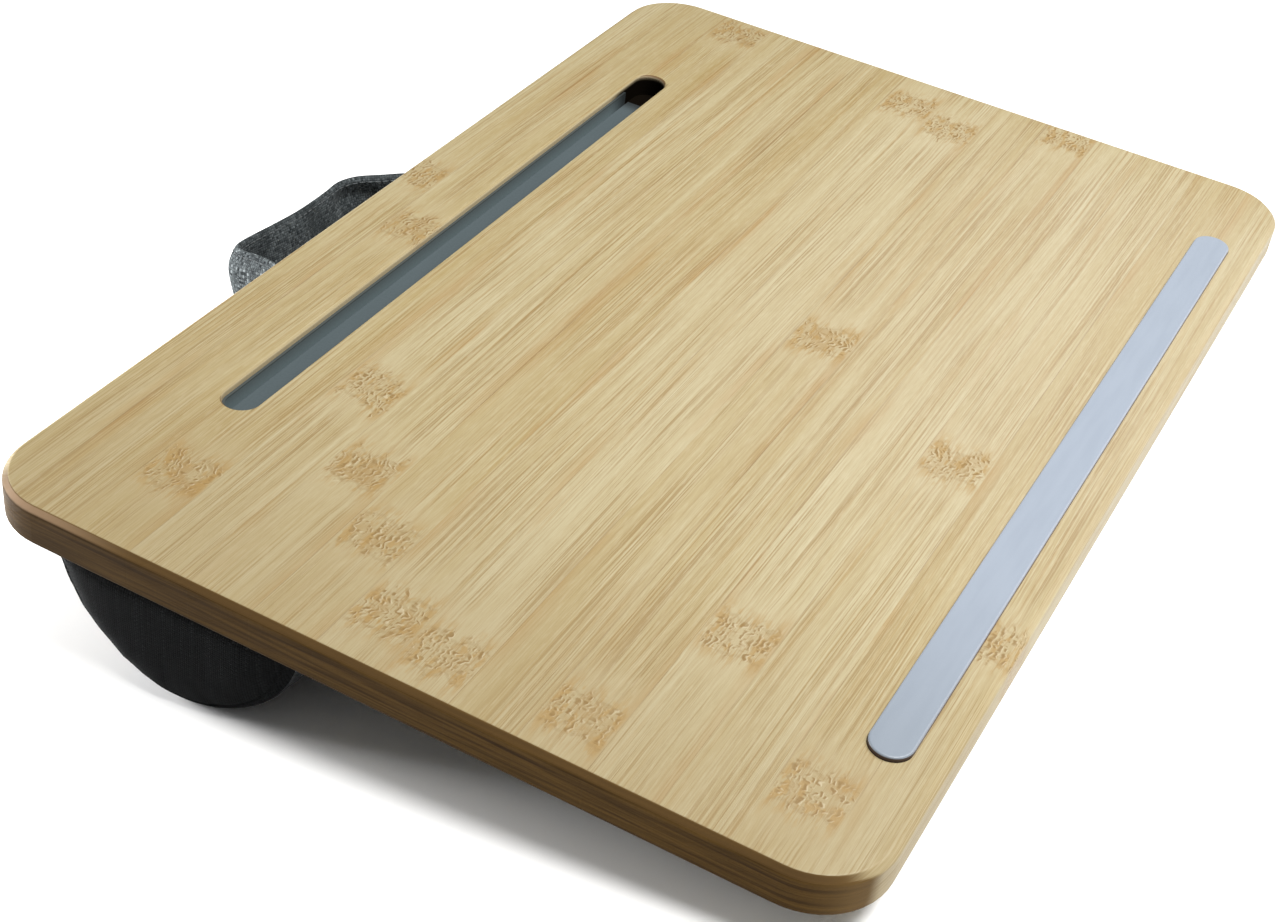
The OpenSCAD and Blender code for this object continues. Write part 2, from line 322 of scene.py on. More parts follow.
def bamboo():
    M = Mat("bamboo_lacquered")
    (X, Y, Z), (nx, ny, nzz) = M.board_coords()
    k = ((Y - 0.5) / STRIP_W).floor()
    f = ((Y - 0.5) / STRIP_W).fract()
    ramp = M.node("ShaderNodeValToRGB")
    ramp.color_ramp.interpolation = "CONSTANT"
    els = ramp.color_ramp.elements
    while len(els) < len(STRIPS):
        els.new(0.5)
    for i, (a, b, tone) in enumerate(STRIPS):
        els[i].position = i / 14
        els[i].color = (a / 1000 + 0.5, b / 1000 + 0.5, tone, 1)
    M.put(ramp.inputs[0], (k + 7.5) / 14.0)
    c = M.split(Val(M, ramp.outputs[0]))
    xa, xb, tone = (c[0] - 0.5) * 1000.0, (c[1] - 0.5) * 1000.0, c[2]
    seed = M.white(k) * 40.0
    seed2 = M.white(k, 5.0)
    da, db = X - xa, X - xb
    pick = da.abs().less(db.abs())
    s = db + (da - db) * pick
    # ragged, leaning outline of the knuckle, row of fibres by row of fibres
    lean = (f - 0.5) * (seed2 - 0.5) * 9.0
    sway = (M.noise(f * 2.6, seed, 3.0, 1.0) - 0.5) * 11.0
    sc = s + lean + sway
    edge = (0.5 - (f - 0.5).abs()) * STRIP_W
    near = sc.abs().step(28.0, 7.0)
    # across-grain coordinate, carried down the long faces
    A = Y + Z * 1.6
    drift = (M.noise(X / 170.0, A / 26.0, seed, 1.0) - 0.5) * 3.6
    round_ = (M.noise(X / 15.0, A / 7.0, seed + 2.0, 1.0) - 0.5) * 2.2 * near
    G = A + drift + round_
    fine = M.noise(X / 95.0, G / 0.62, seed, 2.0, 0.6)
    hair = M.noise(X / 40.0, G / 0.30, seed + 1.0, 1.0, 0.5)
    mid = M.noise(X / 150.0, G / 1.7, seed, 2.0, 0.55)
    wide = M.noise(X / 190.0, G / 4.6, seed, 2.0, 0.5)
    cloud = M.noise(X / 60.0, G / 11.0, seed, 1.0)
    busy = M.noise(X / 80.0, A / 8.0, seed + 6.0, 1.0).step(0.34, 0.62, 0.35, 1.0)
    keep = (1.0 - near * 0.55) * busy
    lines = fine.step(0.49, 0.63) * keep
    hairs = hair.step(0.52, 0.68) * keep
    streak = mid.step(0.50, 0.66) * keep
    # tone of the ground: strip by strip, with clouds along the grain
    ground = (tone - 0.48) * 1.35 + (wide - 0.5) * 1.15 + (cloud - 0.5) * 0.7 + 0.42
    col = M.mix(ground, (0.355, 0.305, 0.184), (0.284, 0.217, 0.097))
    col = M.mix(streak * 0.45, col, (0.264, 0.176, 0.064))
    col = M.mix(hairs * 0.46, col, (0.213, 0.151, 0.063))
    col = M.mix(lines * 0.70, col, (0.208, 0.135, 0.050))
    # pale threads between the dark ones
    palethread = fine.step(0.45, 0.32) * keep
    col = M.mix(palethread * 0.42, col, (0.409, 0.361, 0.239))
    # short fibres
    fibre = M.noise(X / 6.0, G / 0.42, seed + 3.0, 1.0)
    col = M.mix(fibre.step(0.52, 0.72) * 0.22, col, (0.437, 0.386, 0.262))
    col = M.mix(fibre.step(0.46, 0.26) * 0.20, col, (0.215, 0.150, 0.064))
    # pale and plain just beside the knuckles
    col = M.mix(near * 0.30, col, (0.363, 0.310, 0.193))
    # broad orange-brown streaks, strongest along the glue lines
    glow = M.noise(X / 70.0, k * 3.1 + f * 1.5, 4.0, 2.0).step(0.47, 0.68) * edge.step(5.5, 0.0)
    col = M.mix(glow * 0.44, col, (0.263, 0.156, 0.050))
    side = f.step(0.45, 0.55)
    glue = edge.step(0.42, 0.10) * M.noise(X / 45.0, k * 2.3 + side, 9.0, 2.0).step(0.40, 0.66)
    col = M.mix(glue * 0.50, col, (0.164, 0.098, 0.039))
    # the knuckles: rows of short leaning dashes with pale gaps between them
    zig = sc.abs() * ((M.white(k, 8.0) - 0.5) * 0.55)
    bow = (M.noise(X / 6.0, A / 5.0, seed, 1.0) - 0.5) * 1.9
    turnx = (M.noise(X / 2.4, A / 2.6, seed + 4.0, 1.0) - 0.5) * 1.7
    D = A / 1.66 + zig + bow + turnx
    row = D.floor()
    q = D.fract() - 0.5
    jog = M.white(row, seed)
    sa = (sc + (jog - 0.5) * 6.0 + (M.noise(X / 3.0, A / 1.5, seed, 1.0) - 0.5) * 5.0).abs()
    wear_and_highlight = M.noise(X / 5.0, A / 4.0, seed + 9.0, 1.0)
    inset = edge + (M.noise(X / 3.2, k * 5.1 + f, 2.0, 1.0) - 0.62) * 6.0
    knuckle = sa.step(9.6, 5.4) * inset.step(-0.8, 1.6)
    cut = M.noise(X / 1.6 + jog * 7.0, row * 3.7, seed, 1.0)
    force = knuckle * wear_and_highlight.step(0.30, 0.58, 0.42, 1.0)
    dash = q.abs().step(0.42, 0.10) * cut.step(0.42, 0.58) * force
    pale = (q + 0.36).abs().step(0.26, 0.06) * cut.step(0.42, 0.62) * force
    patch = M.noise(X / 6.5, A / 2.4, seed + 5.0, 2.0)
    patch = (patch + edge.step(7.0, 1.0) * 0.11).step(0.53, 0.66)
    tails = sc.abs().step(17.0, 5.0) * edge.step(-0.4, 1.4)
    scar = (sc.abs() - 7.4 + (M.noise(Y / 2.2, seed, 5.0, 1.0) - 0.5) * 3.2).abs().step(1.0, 0.2)
    # painted shade: the board is painted darker and browner towards its two ends, most towards the left one
    col = M.mix(X.step(-90.0, -215.0) * 0.30 + X.step(160.0, 215.0) * 0.03, col, (0.205, 0.150, 0.070))
    # painted reflection: a paler, greyer sheen over the front middle and right of the top
    rub_and_sheen = X.step(-150.0, 40.0) * X.step(260.0, 150.0) * Y.step(70.0, -90.0)
    col = M.mix(rub_and_sheen * 0.16, col, (0.385, 0.350, 0.300))
    whisk = M.noise(X / 10.0, A / 0.55, seed + 7.0, 1.0).step(0.50, 0.66) * sc.abs().step(19.0, 6.0)
    col = M.mix(whisk * edge.step(-0.2, 1.2) * 0.50, col, (0.225, 0.138, 0.048))
    burn = M.noise(X / 8.0, A / 6.0, seed + 11.0, 1.0).step(0.44, 0.62) * sa.step(10.5, 5.0) * inset.step(-0.8, 1.6)
    col = M.mix(burn * (seed2.step(0.2, 0.9) * 0.46 + 0.08), col, (0.232, 0.136, 0.042))
    col = M.mix(knuckle * 0.17, col, (0.250, 0.176, 0.076))
    col = M.mix(patch * tails * 0.62, col, (0.262, 0.162, 0.051))
    col = M.mix(scar * edge.step(0.0, 2.0) * 0.22, col, (0.192, 0.128, 0.052))
    col = M.mix(pale * 0.56, col, (0.440, 0.380, 0.258))
    col = M.mix(dash * 0.86, col, (0.176, 0.106, 0.034))
    # end grain and the plies on the two short edges, darker along the bottom edge; the end grain is darker than the top
    # as its own tone and, as painted shade, far darker still
    ends = nx.abs().step(0.28, 0.52)
    ply = M.noise(Y / 34.0, Z / 1.1, 2.0, 3.0, 0.55)
    pores = M.noise(Y / 0.8, Z / 0.5, 7.0, 2.0, 0.6)
    endcol = M.mix(ply.step(0.32, 0.72), (0.086, 0.047, 0.0115), (0.036, 0.0190, 0.0047))
    endcol = M.mix(pores.step(0.48, 0.74) * 0.28, endcol, (0.026, 0.013, 0.005))
    seam = (Z - 4.6).abs().step(0.50, 0.12) * 0.55 + (Z - 9.3 + (ply - 0.5) * 0.8).abs().step(0.85, 0.25)
    endcol = M.mix(seam * 0.45, endcol, (0.020, 0.010, 0.004))
    endcol = M.mix(Z.step(2.4, 0.4) * 0.5, endcol, (0.018, 0.009, 0.004))
    # painted shade: the end grain darkens towards the rear; painted highlight: it is paler where the corners turn away
    endcol = M.mix(Y.step(-60.0, 105.0) * 0.38, endcol, (0.012, 0.0065, 0.002))
    endcol = M.mix(nx.abs().step(0.97, 0.60) * 0.5, endcol, (0.150, 0.092, 0.034))
    col = M.mix(ends, col, endcol)
    # painted shade on the end chamfer just below the arris, and a painted highlight on it at the rear corner
    painted_bevel_light = Z.step(13.4, 13.1) * Z.step(11.5, 12.2) * nx.abs().step(0.35, 0.65)
    col = M.mix(painted_bevel_light * Y.step(120.0, 60.0) * 0.45, col, (0.045, 0.023, 0.009))
    col = M.mix(painted_bevel_light * Y.step(80.0, 128.0) * 0.55, col, (0.340, 0.230, 0.150))
    # painted light: the slot's wooden walls are painted paler; painted shade follows along its front arris and at its
    # bare right end
    walls = (Y - 105.2).abs().step(8.0, 7.4) * X.abs().step(146.0, 145.0)
    col = M.mix(walls * nzz.abs().step(0.6, 0.3) * 0.5, col, (0.46, 0.385, 0.250))
    # painted shade: a dark hairline along the top of the slot's front arris
    arris = (105.2 - Y).step(6.28, 6.42) * (105.2 - Y).step(7.05, 6.75) * X.abs().step(141.0, 138.0)
    col = M.mix(arris * Z.step(13.2, 13.45) * 0.55, col, (0.060, 0.040, 0.018))
    # painted shade: the bare right end of the slot, below its top, is painted near black
    painted_cavity_shade = walls * X.step(113.0, 124.0) * Z.step(13.35, 11.0)
    col = M.mix(painted_cavity_shade, col, (0.004, 0.003, 0.002))
    M.put(M.bsdf.inputs["Base Color"], col)
    M.put(M.bsdf.inputs["Roughness"], 0.54 + lines * 0.10 - knuckle * 0.05)
    M.put(M.bsdf.inputs["Specular IOR Level"], (0.34 - ends * 0.30) * (1.0 - painted_cavity_shade))
    M.bump(0.0 - lines * 0.35 - hairs * 0.2 - dash * 0.14 - glue * 0.7, 0.00009, 0.5)
    return M.m


# ---------------------------------------------------------------- other hard finishes
def speckled(name, base, dark, rough, grain, fleck=0.25, metal=0.0, spec=0.5, bump=0.00004,
             stretch=(1, 1, 1), rough_var=0.1):
    M = Mat(name)
    (X, Y, Z), _ = M.board_coords()
    a = M.noise(X / (grain * stretch[0]), Y / (grain * stretch[1]), Z / (grain * stretch[2]), 3.0, 0.6)
    b = M.noise(X / (grain * 9), Y / (grain * 9), Z / (grain * 9), 2.0)
    mixf = a.step(0.35, 0.75) * fleck + b.step(0.3, 0.7) * fleck * 0.7
    M.put(M.bsdf.inputs["Base Color"], M.mix(mixf, base, dark))
    M.put(M.bsdf.inputs["Roughness"], a * rough_var * 2 + (rough - rough_var))
    M.set(Metallic=metal, Specular_IOR_Level=spec)
    M.bump(a, bump, 0.6)
    return M.m


def liner_finish():
    """Matt soft strip, blue-green grey, mottled; its walls are painted paler as painted light, and it is painted darker
    towards its edges as painted shade.
    """
    M = Mat("liner_soft_grey")
    (X, Y, Z), _ = M.board_coords()
    a = M.noise(X / 1.1, Y / 0.9, Z / 0.9, 2.0, 0.6)
    b = M.noise(X / 16.0, Y / 5.0, Z / 5.0, 2.0)
    c = M.noise(X / 60.0, Y / 9.0, 3.0, 1.0)
    col = M.mix(a.step(0.4, 0.7) * 0.3 + b * 0.25, (0.058, 0.075, 0.081), (0.046, 0.063, 0.067))
    col = M.mix(c.step(0.45, 0.7) * 0.35, col, (0.067, 0.086, 0.093))
    # painted light: the walls catch less light, so they are painted paler
    wall = Z.step(5.52, 5.62)
    col = M.mix(wall * 0.9, col, M.mix(a.step(0.4, 0.7) * 0.3 + b * 0.25, (0.115, 0.151, 0.158), (0.100, 0.131, 0.137)))
    # painted shade: the walls darken towards their top, with a dark line painted along the top edge
    col = M.mix(Z.step(6.0, 10.8) * 0.42, col, (0.042, 0.048, 0.046))
    col = M.mix(Z.step(10.3, 10.9) * 0.85, col, (0.034, 0.040, 0.038))
    # painted shade: the right end of the walls and of the floor strip is painted near black
    col = M.mix(X.step(112.0, 125.5) * wall * 0.92, col, (0.010, 0.013, 0.014))
    col = M.mix(X.step(121.0, 129.0) * 0.9, col, (0.010, 0.013, 0.014))
    M.put(M.bsdf.inputs["Base Color"], col)
    M.put(M.bsdf.inputs["Roughness"], a * 0.2 + 0.55)
    M.set(Specular_IOR_Level=0.35)
    M.bump(a, 0.00006, 0.7)
    return M.m


def strip_finish():
    """Satin silicone with a very fine mould texture and faint rub marks."""
    M = Mat("stop_strip_satin")
    (X, Y, Z), _ = M.board_coords()
    a = M.noise(X / 0.35, Y / 0.35, Z / 0.35, 2.0, 0.6)
    b = M.noise(X / 30.0, Y / 4.0, 1.0, 3.0)
    rub_and_sheen = M.noise(X / 12.0, Y / 0.5, 6.0, 2.0).step(0.62, 0.72)
    col = M.mix(b.step(0.35, 0.7) * 0.5 + a * 0.14, (0.236, 0.268, 0.316), (0.209, 0.239, 0.285))
    # painted highlight: a pale line along the top's long rims; the cut edge below it is darker
    rim = ((Y + 127.0).abs() - 6.4).abs().step(0.32, 0.12) * Z.step(14.8, 15.0)
    col = M.mix(rim * 0.35, col, (0.36, 0.36, 0.39))
    # painted shade: darker towards the left end
    col = M.mix(X.step(-70.0, -205.0) * 0.45, col, (0.108, 0.130, 0.143))
    end = X.step(-156.0, -161.0)
    col = M.mix(Z.step(14.72, 14.40), col, (0.190, 0.150, 0.155))
    # painted shade: the side of the left end is painted near black
    col = M.mix(Z.step(14.80, 14.50) * end * 0.95, col, (0.040, 0.020, 0.016))
    M.put(M.bsdf.inputs["Base Color"], col)
    M.put(M.bsdf.inputs["Roughness"], a * 0.10 + rub_and_sheen * 0.05 + 0.36)
    M.set(Specular_IOR_Level=0.45)
    M.bump(a, 0.00003, 0.6)
    return M.m


# ---------------------------------------------------------------- cloth
def cloth(name, pitch, dark, light, fleck, slub=5.0, contrast=1.0, bump=0.00022, sheen=0.12,
          warp=0.0, spec=0.2, specks=0.6, inner_side=0.0, nubs=0.45, wear_and_highlight=None):
    """Plain weave of heather yarns, laid out by the mesh's own 'weave' values,
    which are mm along the two thread directions."""
    M = Mat(name)
    at = M.node("ShaderNodeAttribute")
    at.attribute_name = "weave"
    u, v, w = M.split(Val(M, at.outputs["Vector"]))
    # threads wander a little
    u = u + (M.noise(u / 9.0, v / 14.0, 1.0, 1.0) - 0.5) * pitch * 1.3
    v = v + (M.noise(u / 14.0, v / 9.0, 6.0, 1.0) - 0.5) * pitch * 1.3
    pu, pv = u / pitch, v / pitch
    iu, iv = pu.floor(), pv.floor()
    fu, fv = pu.fract() - 0.5, pv.fract() - 0.5
    over = ((iu + iv) * 0.5).fract() * 2.0
    wi = (w + 0.05).floor()
    t1 = M.white(iu, wi) * 0.35 + M.noise(iu * 1.7, v / slub, 2.0, 2.0, 0.7) * 0.95
    t2 = M.white(iv, wi + 3.0) * 0.35 + M.noise(iv * 1.3, u / slub, 8.0, 2.0, 0.7) * 0.95
    # the inner side of a folded strap shows one thread only; below it is also painted darker as painted shade
    inner = w.step(20.2, 20.8) * inner_side
    single = inner * (0.85 - warp) + warp
    t2 = t2 * (1.0 - single) + single * 0.62
    tone = t1 + (t2 - t1) * over
    tone = tone + (M.white(iu + 0.5, iv + 0.25) - 0.5) * nubs
    tone = ((tone - 0.66) * contrast * 1.6 + 0.5).op("MAXIMUM", 0.0).op("MINIMUM", 1.0)
    # rounded threads: one crosses over, the other dips
    across = fu + (fv - fu) * over
    along = fv + (fu - fv) * over
    h = (1.0 - across * across * 3.4) * (1.0 - along * along * 2.2)
    col = M.mix(tone, dark, light)
    col = M.mix(tone.step(0.80, 0.98) * (1.0 - inner * 0.8) * specks, col, fleck)
    # painted shade: the inner side darker overall, and darker still in loose patches where folds would be shaded
    col = M.mix(inner * 0.30, col, tuple(x * 0.8 for x in dark))
    slack = M.noise(u / 15.0, v / 34.0, 12.0, 1.0).step(0.56, 0.34)
    col = M.mix(inner * slack * 0.55, col, dark)
    if wear_and_highlight:
        # painted highlight: paler where the edge turns outward
        col = M.mix((w - wi).step(0.04, 0.55) * (tone * 0.8 + 0.2), col, wear_and_highlight)
    # painted shade in the dips between the rounded threads
    col = M.mix(h.step(0.62, 0.05) * 0.55, col, tuple(x * 0.25 for x in dark))
    M.put(M.bsdf.inputs["Base Color"], col)
    M.put(M.bsdf.inputs["Roughness"], tone * 0.08 + 0.86)
    M.set(Specular_IOR_Level=spec, Sheen_Weight=sheen, Sheen_Roughness=0.5)
    M.bump(h, bump, 0.8)
    return M.m


def thread_finish(name, a, b):
    M = Mat(name)
    co, _ = M.object_coords()
    x, y, z = M.split(co)
    n = M.noise(x * 2600.0, y * 2600.0, z * 2600.0, 2.0)
    M.put(M.bsdf.inputs["Base Color"], M.mix(n.step(0.35, 0.7), a, b))
    M.put(M.bsdf.inputs["Roughness"], n * 0.2 + 0.6)
    M.set(Specular_IOR_Level=0.3, Sheen_Weight=0.1)
    M.bump(n, 0.00006, 0.6)
    return M.m


mats = {
    "top_board": bamboo(),
    "slot_floor_strip": liner_finish(),
    "stop_strip": strip_finish(),
    "stop_tape": speckled("tape_black", (0.030, 0.028, 0.028), (0.015, 0.014, 0.014), 0.7, 0.4),
    "base_panel": speckled("hardboard_brown", (0.24, 0.145, 0.08), (0.12, 0.07, 0.04), 0.75, 0.7,
                           0.7, stretch=(3, 1, 1)),
    "base_screws": speckled("screw_zinc", (0.62, 0.61, 0.58), (0.40, 0.40, 0.40), 0.32, 0.5, 0.5, 1.0),
    "cup_washers": speckled("washer_zinc", (0.50, 0.50, 0.50), (0.30, 0.30, 0.31), 0.36, 0.6, 0.5, 1.0),
    "cover_staples": speckled("staple_wire", (0.62, 0.62, 0.62), (0.42, 0.42, 0.42), 0.3, 0.3, 0.4, 1.0),
    "handle_core": speckled("webbing_black", (0.024, 0.024, 0.025), (0.012, 0.012, 0.012), 0.85, 0.5,
                            0.8, stretch=(1, 1, 4)),
}
mats["slot_wall_strip_front"] = mats["slot_wall_strip_rear"] = mats["slot_floor_strip"]
for node, mat in mats.items():
    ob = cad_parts[node]
    ob.data.materials.clear()
    ob.data.materials.append(mat)

# painted shade: the cover and its end panels are the handle's heather painted darker, the end panels far darker
cover = cloth("cover_heather_painted_shade", 0.66, (0.009, 0.0097, 0.0103), (0.082, 0.088, 0.092),
              (0.17, 0.178, 0.185), slub=5.0, contrast=0.90, sheen=0.03, warp=0.3, spec=0.08)
cover_end_painted_shade = cloth("end_heather_painted_shade", 0.80, (0.0012, 0.0014, 0.0015), (0.0086, 0.0093, 0.0096),
                  (0.024, 0.026, 0.027), slub=22.0, contrast=1.35, sheen=0.0, warp=0.85,
                  spec=0.05, specks=0.1, nubs=0.12, wear_and_highlight=(0.040, 0.042, 0.043))
strap_cloth = cloth("handle_heather", 0.95, (0.016, 0.0195, 0.021), (0.122, 0.138, 0.143),
                    (0.30, 0.325, 0.335), slub=3.2, contrast=0.95, bump=0.0003, sheen=0.02, warp=0.2, spec=0.08,
                   specks=0.5, inner_side=1.0)
thread_dark = thread_finish("thread_charcoal", (0.030, 0.031, 0.033), (0.075, 0.078, 0.082))
thread_grey = thread_finish("thread_grey", (0.040, 0.045, 0.047), (0.100, 0.110, 0.115))


# ---------------------------------------------------------------- mesh helpers
def piece(name, verts, faces, mat, weave=None, flip=False):
    """verts are Vectors in the row frame, in metres."""
    me = bpy.data.meshes.new(name)
    me.from_pydata([tuple(v) for v in verts], [], [tuple(reversed(f)) if flip else tuple(f) for f in faces])
    me.validate()
    if weave:
        a = me.attributes.new("weave", "FLOAT_VECTOR", "POINT")
        a.data.foreach_set("vector", [c for w in weave for c in w])
    me.materials.append(mat)
    me.polygons.foreach_set("use_smooth", [True] * len(me.polygons))
    me.update()
    ob = bpy.data.objects.new(name, me)
    scene.collection.objects.link(ob)
    return ob


def outward(ob):
    bm = bmesh.new()
    bm.from_mesh(ob.data)
    bmesh.ops.recalc_face_normals(bm, faces=bm.faces)
    bm.to_mesh(ob.data)
    bm.free()
    ob.data.update()
    return ob


def apply_modifiers(ob):
    bpy.context.view_layer.update()
    deps = bpy.context.evaluated_depsgraph_get()
    me = bpy.data.meshes.new_from_object(ob.evaluated_get(deps), preserve_all_data_layers=True, depsgraph=deps)
    me.name = ob.name
    old = ob.data
    ob.modifiers.clear()
    ob.data = me
    bpy.data.meshes.remove(old)
    return ob


def subdivide(ob, levels=1):
    mod = ob.modifiers.new("subdivide", "SUBSURF")
    mod.levels = mod.render_levels = levels
    mod.boundary_smooth = "PRESERVE_CORNERS"
    return apply_modifiers(ob)


def thicken(ob, mm, offset=0.0):
    mod = ob.modifiers.new("thicken", "SOLIDIFY")
    mod.thickness = mm * 0.001
    mod.offset = offset
    mod.use_even_offset = False
    mod.use_rim = True
    return apply_modifiers(ob)


def stitches(name, runs, mat, pitch=3.3, length=2.3, radius=0.26, lift=0.12):
    """Rows of sewn stitches. Each run is a list of (point, normal) in metres."""
    verts, faces = [], []
    rings, sides = 5, 6
    for run in runs:
        acc = [0.0]
        for (p, _), (q, _) in zip(run, run[1:]):
            acc.append(acc[-1] + (q - p).length)
        total = acc[-1]
        n = max(1, int(total / (pitch * 0.001)))
        j = 0
        step = total / n

        def at(d):
            nonlocal j
            d = min(max(d, 0.0), total)
            while j > 0 and acc[j] > d:
                j -= 1
            while j < len(acc) - 2 and acc[j + 1] < d:
                j += 1
            t = (d - acc[j]) / max(1e-9, acc[j + 1] - acc[j])
            return run[j][0].lerp(run[j + 1][0], t), run[j][1].lerp(run[j + 1][1], t).normalized()

        for i in range(n):
            mid = (i + 0.5) * step
            base = len(verts)
            for r in range(rings):
                t = r / (rings - 1) * 2 - 1
                p, nor = at(mid + t * length * 0.0005)
                q, _ = at(mid + t * length * 0.0005 + 0.0002)
                tan = (q - p)
                if tan.length < 1e-7:
                    q, _ = at(mid + t * length * 0.0005 - 0.0002)
                    tan = p - q
                tan.normalize()
                side = tan.cross(nor).normalized()
                rad = radius * 0.001 * math.sqrt(max(0.0, 1 - (abs(t) * 0.93) ** 2.6))
                centre = p + nor * (lift * 0.001 * (1 - t * t * 1.9))
                for a in range(sides):
                    g = a / sides * math.tau
                    verts.append(centre + side * (math.cos(g) * rad) + nor * (math.sin(g) * rad))
            for r in range(rings - 1):
                for a in range(sides):
                    b = (a + 1) % sides
                    faces.append((base + r * sides + a, base + r * sides + b,
                                  base + (r + 1) * sides + b, base + (r + 1) * sides + a))
            faces.append(tuple(base + a for a in reversed(range(sides))))
            faces.append(tuple(base + (rings - 1) * sides + a for a in range(sides)))
    return outward(piece(name, verts, faces, mat))


def inflate(ob, pinned, pressure, limit, shrink, frames=20, stiff=12.0, bend=0.4):
    """Cloth simulation under inner pressure; each point may move by limit mm."""
    rest = [v.co.copy() for v in ob.data.vertices]
    group = ob.vertex_groups.new(name="pinned")
    group.add(pinned, 1.0, "REPLACE")
    mod = ob.modifiers.new("cloth", "CLOTH")
    s = mod.settings
    s.quality = 6
    s.mass = 0.25
    s.tension_stiffness = s.compression_stiffness = stiff
    s.shear_stiffness = stiff * 0.4
    s.bending_stiffness = bend
    s.vertex_group_mass = "pinned"
    s.use_pressure = True
    s.uniform_pressure_force = pressure
    s.shrink_min = shrink
    s.effector_weights.gravity = 0.0
    mod.collision_settings.use_collision = False
    mod.collision_settings.use_self_collision = False
    mod.point_cache.frame_start = 1
    mod.point_cache.frame_end = frames
    for f in range(1, frames + 1):
        scene.frame_set(f)
    deps = bpy.context.evaluated_depsgraph_get()
    co = [v.co.copy() for v in ob.evaluated_get(deps).data.vertices]
    ob.modifiers.remove(mod)
    ob.vertex_groups.clear()
    scene.frame_set(1)
    for v, a, b in zip(ob.data.vertices, rest, co):
        d = b - a
        far = limit * 0.001
        if d.length > 1e-9:
            d *= math.tanh(d.length / far) * far / d.length
        v.co = a + d
    ob.data.update()
    return ob


# ---------------------------------------------------------------- rear roll
SLEEVE_X = 203.6


def roll_point(a, x, extra=0.0):
    """Point of the sleeve at angle a (degrees about the roll's axis) and x. The
    sleeve draws in towards the sewn rim of its end panels."""
    d = SLEEVE_X - abs(x)
    c, s = math.cos(math.radians(a)), math.sin(math.radians(a))
    r = ROLL_R - 0.15 + extra
    z = ROLL_Z + r * s
    deep = min(1.0, max(0.0, (-4.3 - z) / 38.0)) ** 0.6
    crown = 1 - math.sqrt(max(0.0, 1 - (1 - min(1.0, d / 22.0)) ** 2.2))
    curl = 1.5 * max(0.0, 1 - d / 2.6) ** 2
    r -= (4.0 * crown + curl) * deep
    r -= 2.0 * smooth(75.0, 8.0, d) * smooth(-4.3, -12.0, z) * smooth(268.0, 318.0, a)
    # gathered puckers where the sleeve meets the end panel
    puck = smooth(0.5, 4.0, d) * smooth(26.0, 7.0, d)
    r += 0.20 * puck * deep * nz(a * 0.115, 3.1 if x < 0 else 8.4, d * 0.02) * 1.8
    # slow unevenness of the filling
    r += deep * 0.55 * nz(x * 0.019, a * 0.021, 1.7) * smooth(0, 30, d)
    return ROLL_Y + r * c, ROLL_Z + r * s


def tab_zone(a, x):
    return a > 316 and (-97 < x < -52 or 55 < x < 100)


def make_roll():
    a0 = 180 + math.degrees(math.asin(1.8 / ROLL_R))
    a1 = 360 - math.degrees(math.asin(1.8 / ROLL_R))
    na = 46
    angles = [lerp(a0, a1, i / na) for i in range(na + 1)]
    xs = []
    n = 112
    for i in range(n + 1):
        t = i / n
        xs.append(-SLEEVE_X + 2 * SLEEVE_X * t)
    extra = [SLEEVE_X - 1.2, SLEEVE_X - 2.6]
    xs = sorted(set(xs + extra + [-e for e in extra]))
    ntop = 16
    verts, weave, pinned = [], [], []
    for x in xs:
        for i, a in enumerate(angles):
            y, z = roll_point(a, x)
            if i in (0, na):
                z = -4.3
            z = max(z, table_z(y) + 0.25)
            verts.append(place(x, y, z))
            weave.append((x, math.radians(a) * ROLL_R, 1.0))
            if i < 2 or i > na - 2 or abs(x) > SLEEVE_X - 1.0 or tab_zone(a, x):
                pinned.append(len(verts) - 1)
        y0, y1 = roll_point(angles[-1], x)[0], roll_point(angles[0], x)[0]
        for j in range(1, ntop):
            verts.append(place(x, lerp(y0, y1, j / ntop), -4.3))
            weave.append((x, math.radians(angles[-1]) * ROLL_R + j * 5.6, 1.0))
            pinned.append(len(verts) - 1)
    ring = na + 1 + ntop - 1
    faces = []
    for i in range(len(xs) - 1):
        for j in range(ring):
            a, b = i * ring + j, i * ring + (j + 1) % ring
            faces.append((a, b, b + ring, a + ring))
    faces.append(tuple(reversed(range(ring))))
    faces.append(tuple((len(xs) - 1) * ring + j for j in range(ring)))
    ob = outward(piece("rear_roll", verts, faces, cover, weave))
    inflate(ob, pinned, 2.2, 2.2, -0.012)
    subdivide(ob)
    for v in ob.data.vertices:
        if v.co.z < 0.0009:
            v.co.z = 0.0003 + 0.0006 * math.exp((v.co.z - 0.0009) / 0.0006)
    ob.data.update()
    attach(ob, "desk")
    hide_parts("rear_sleeve", "rear_foam")
    return ob


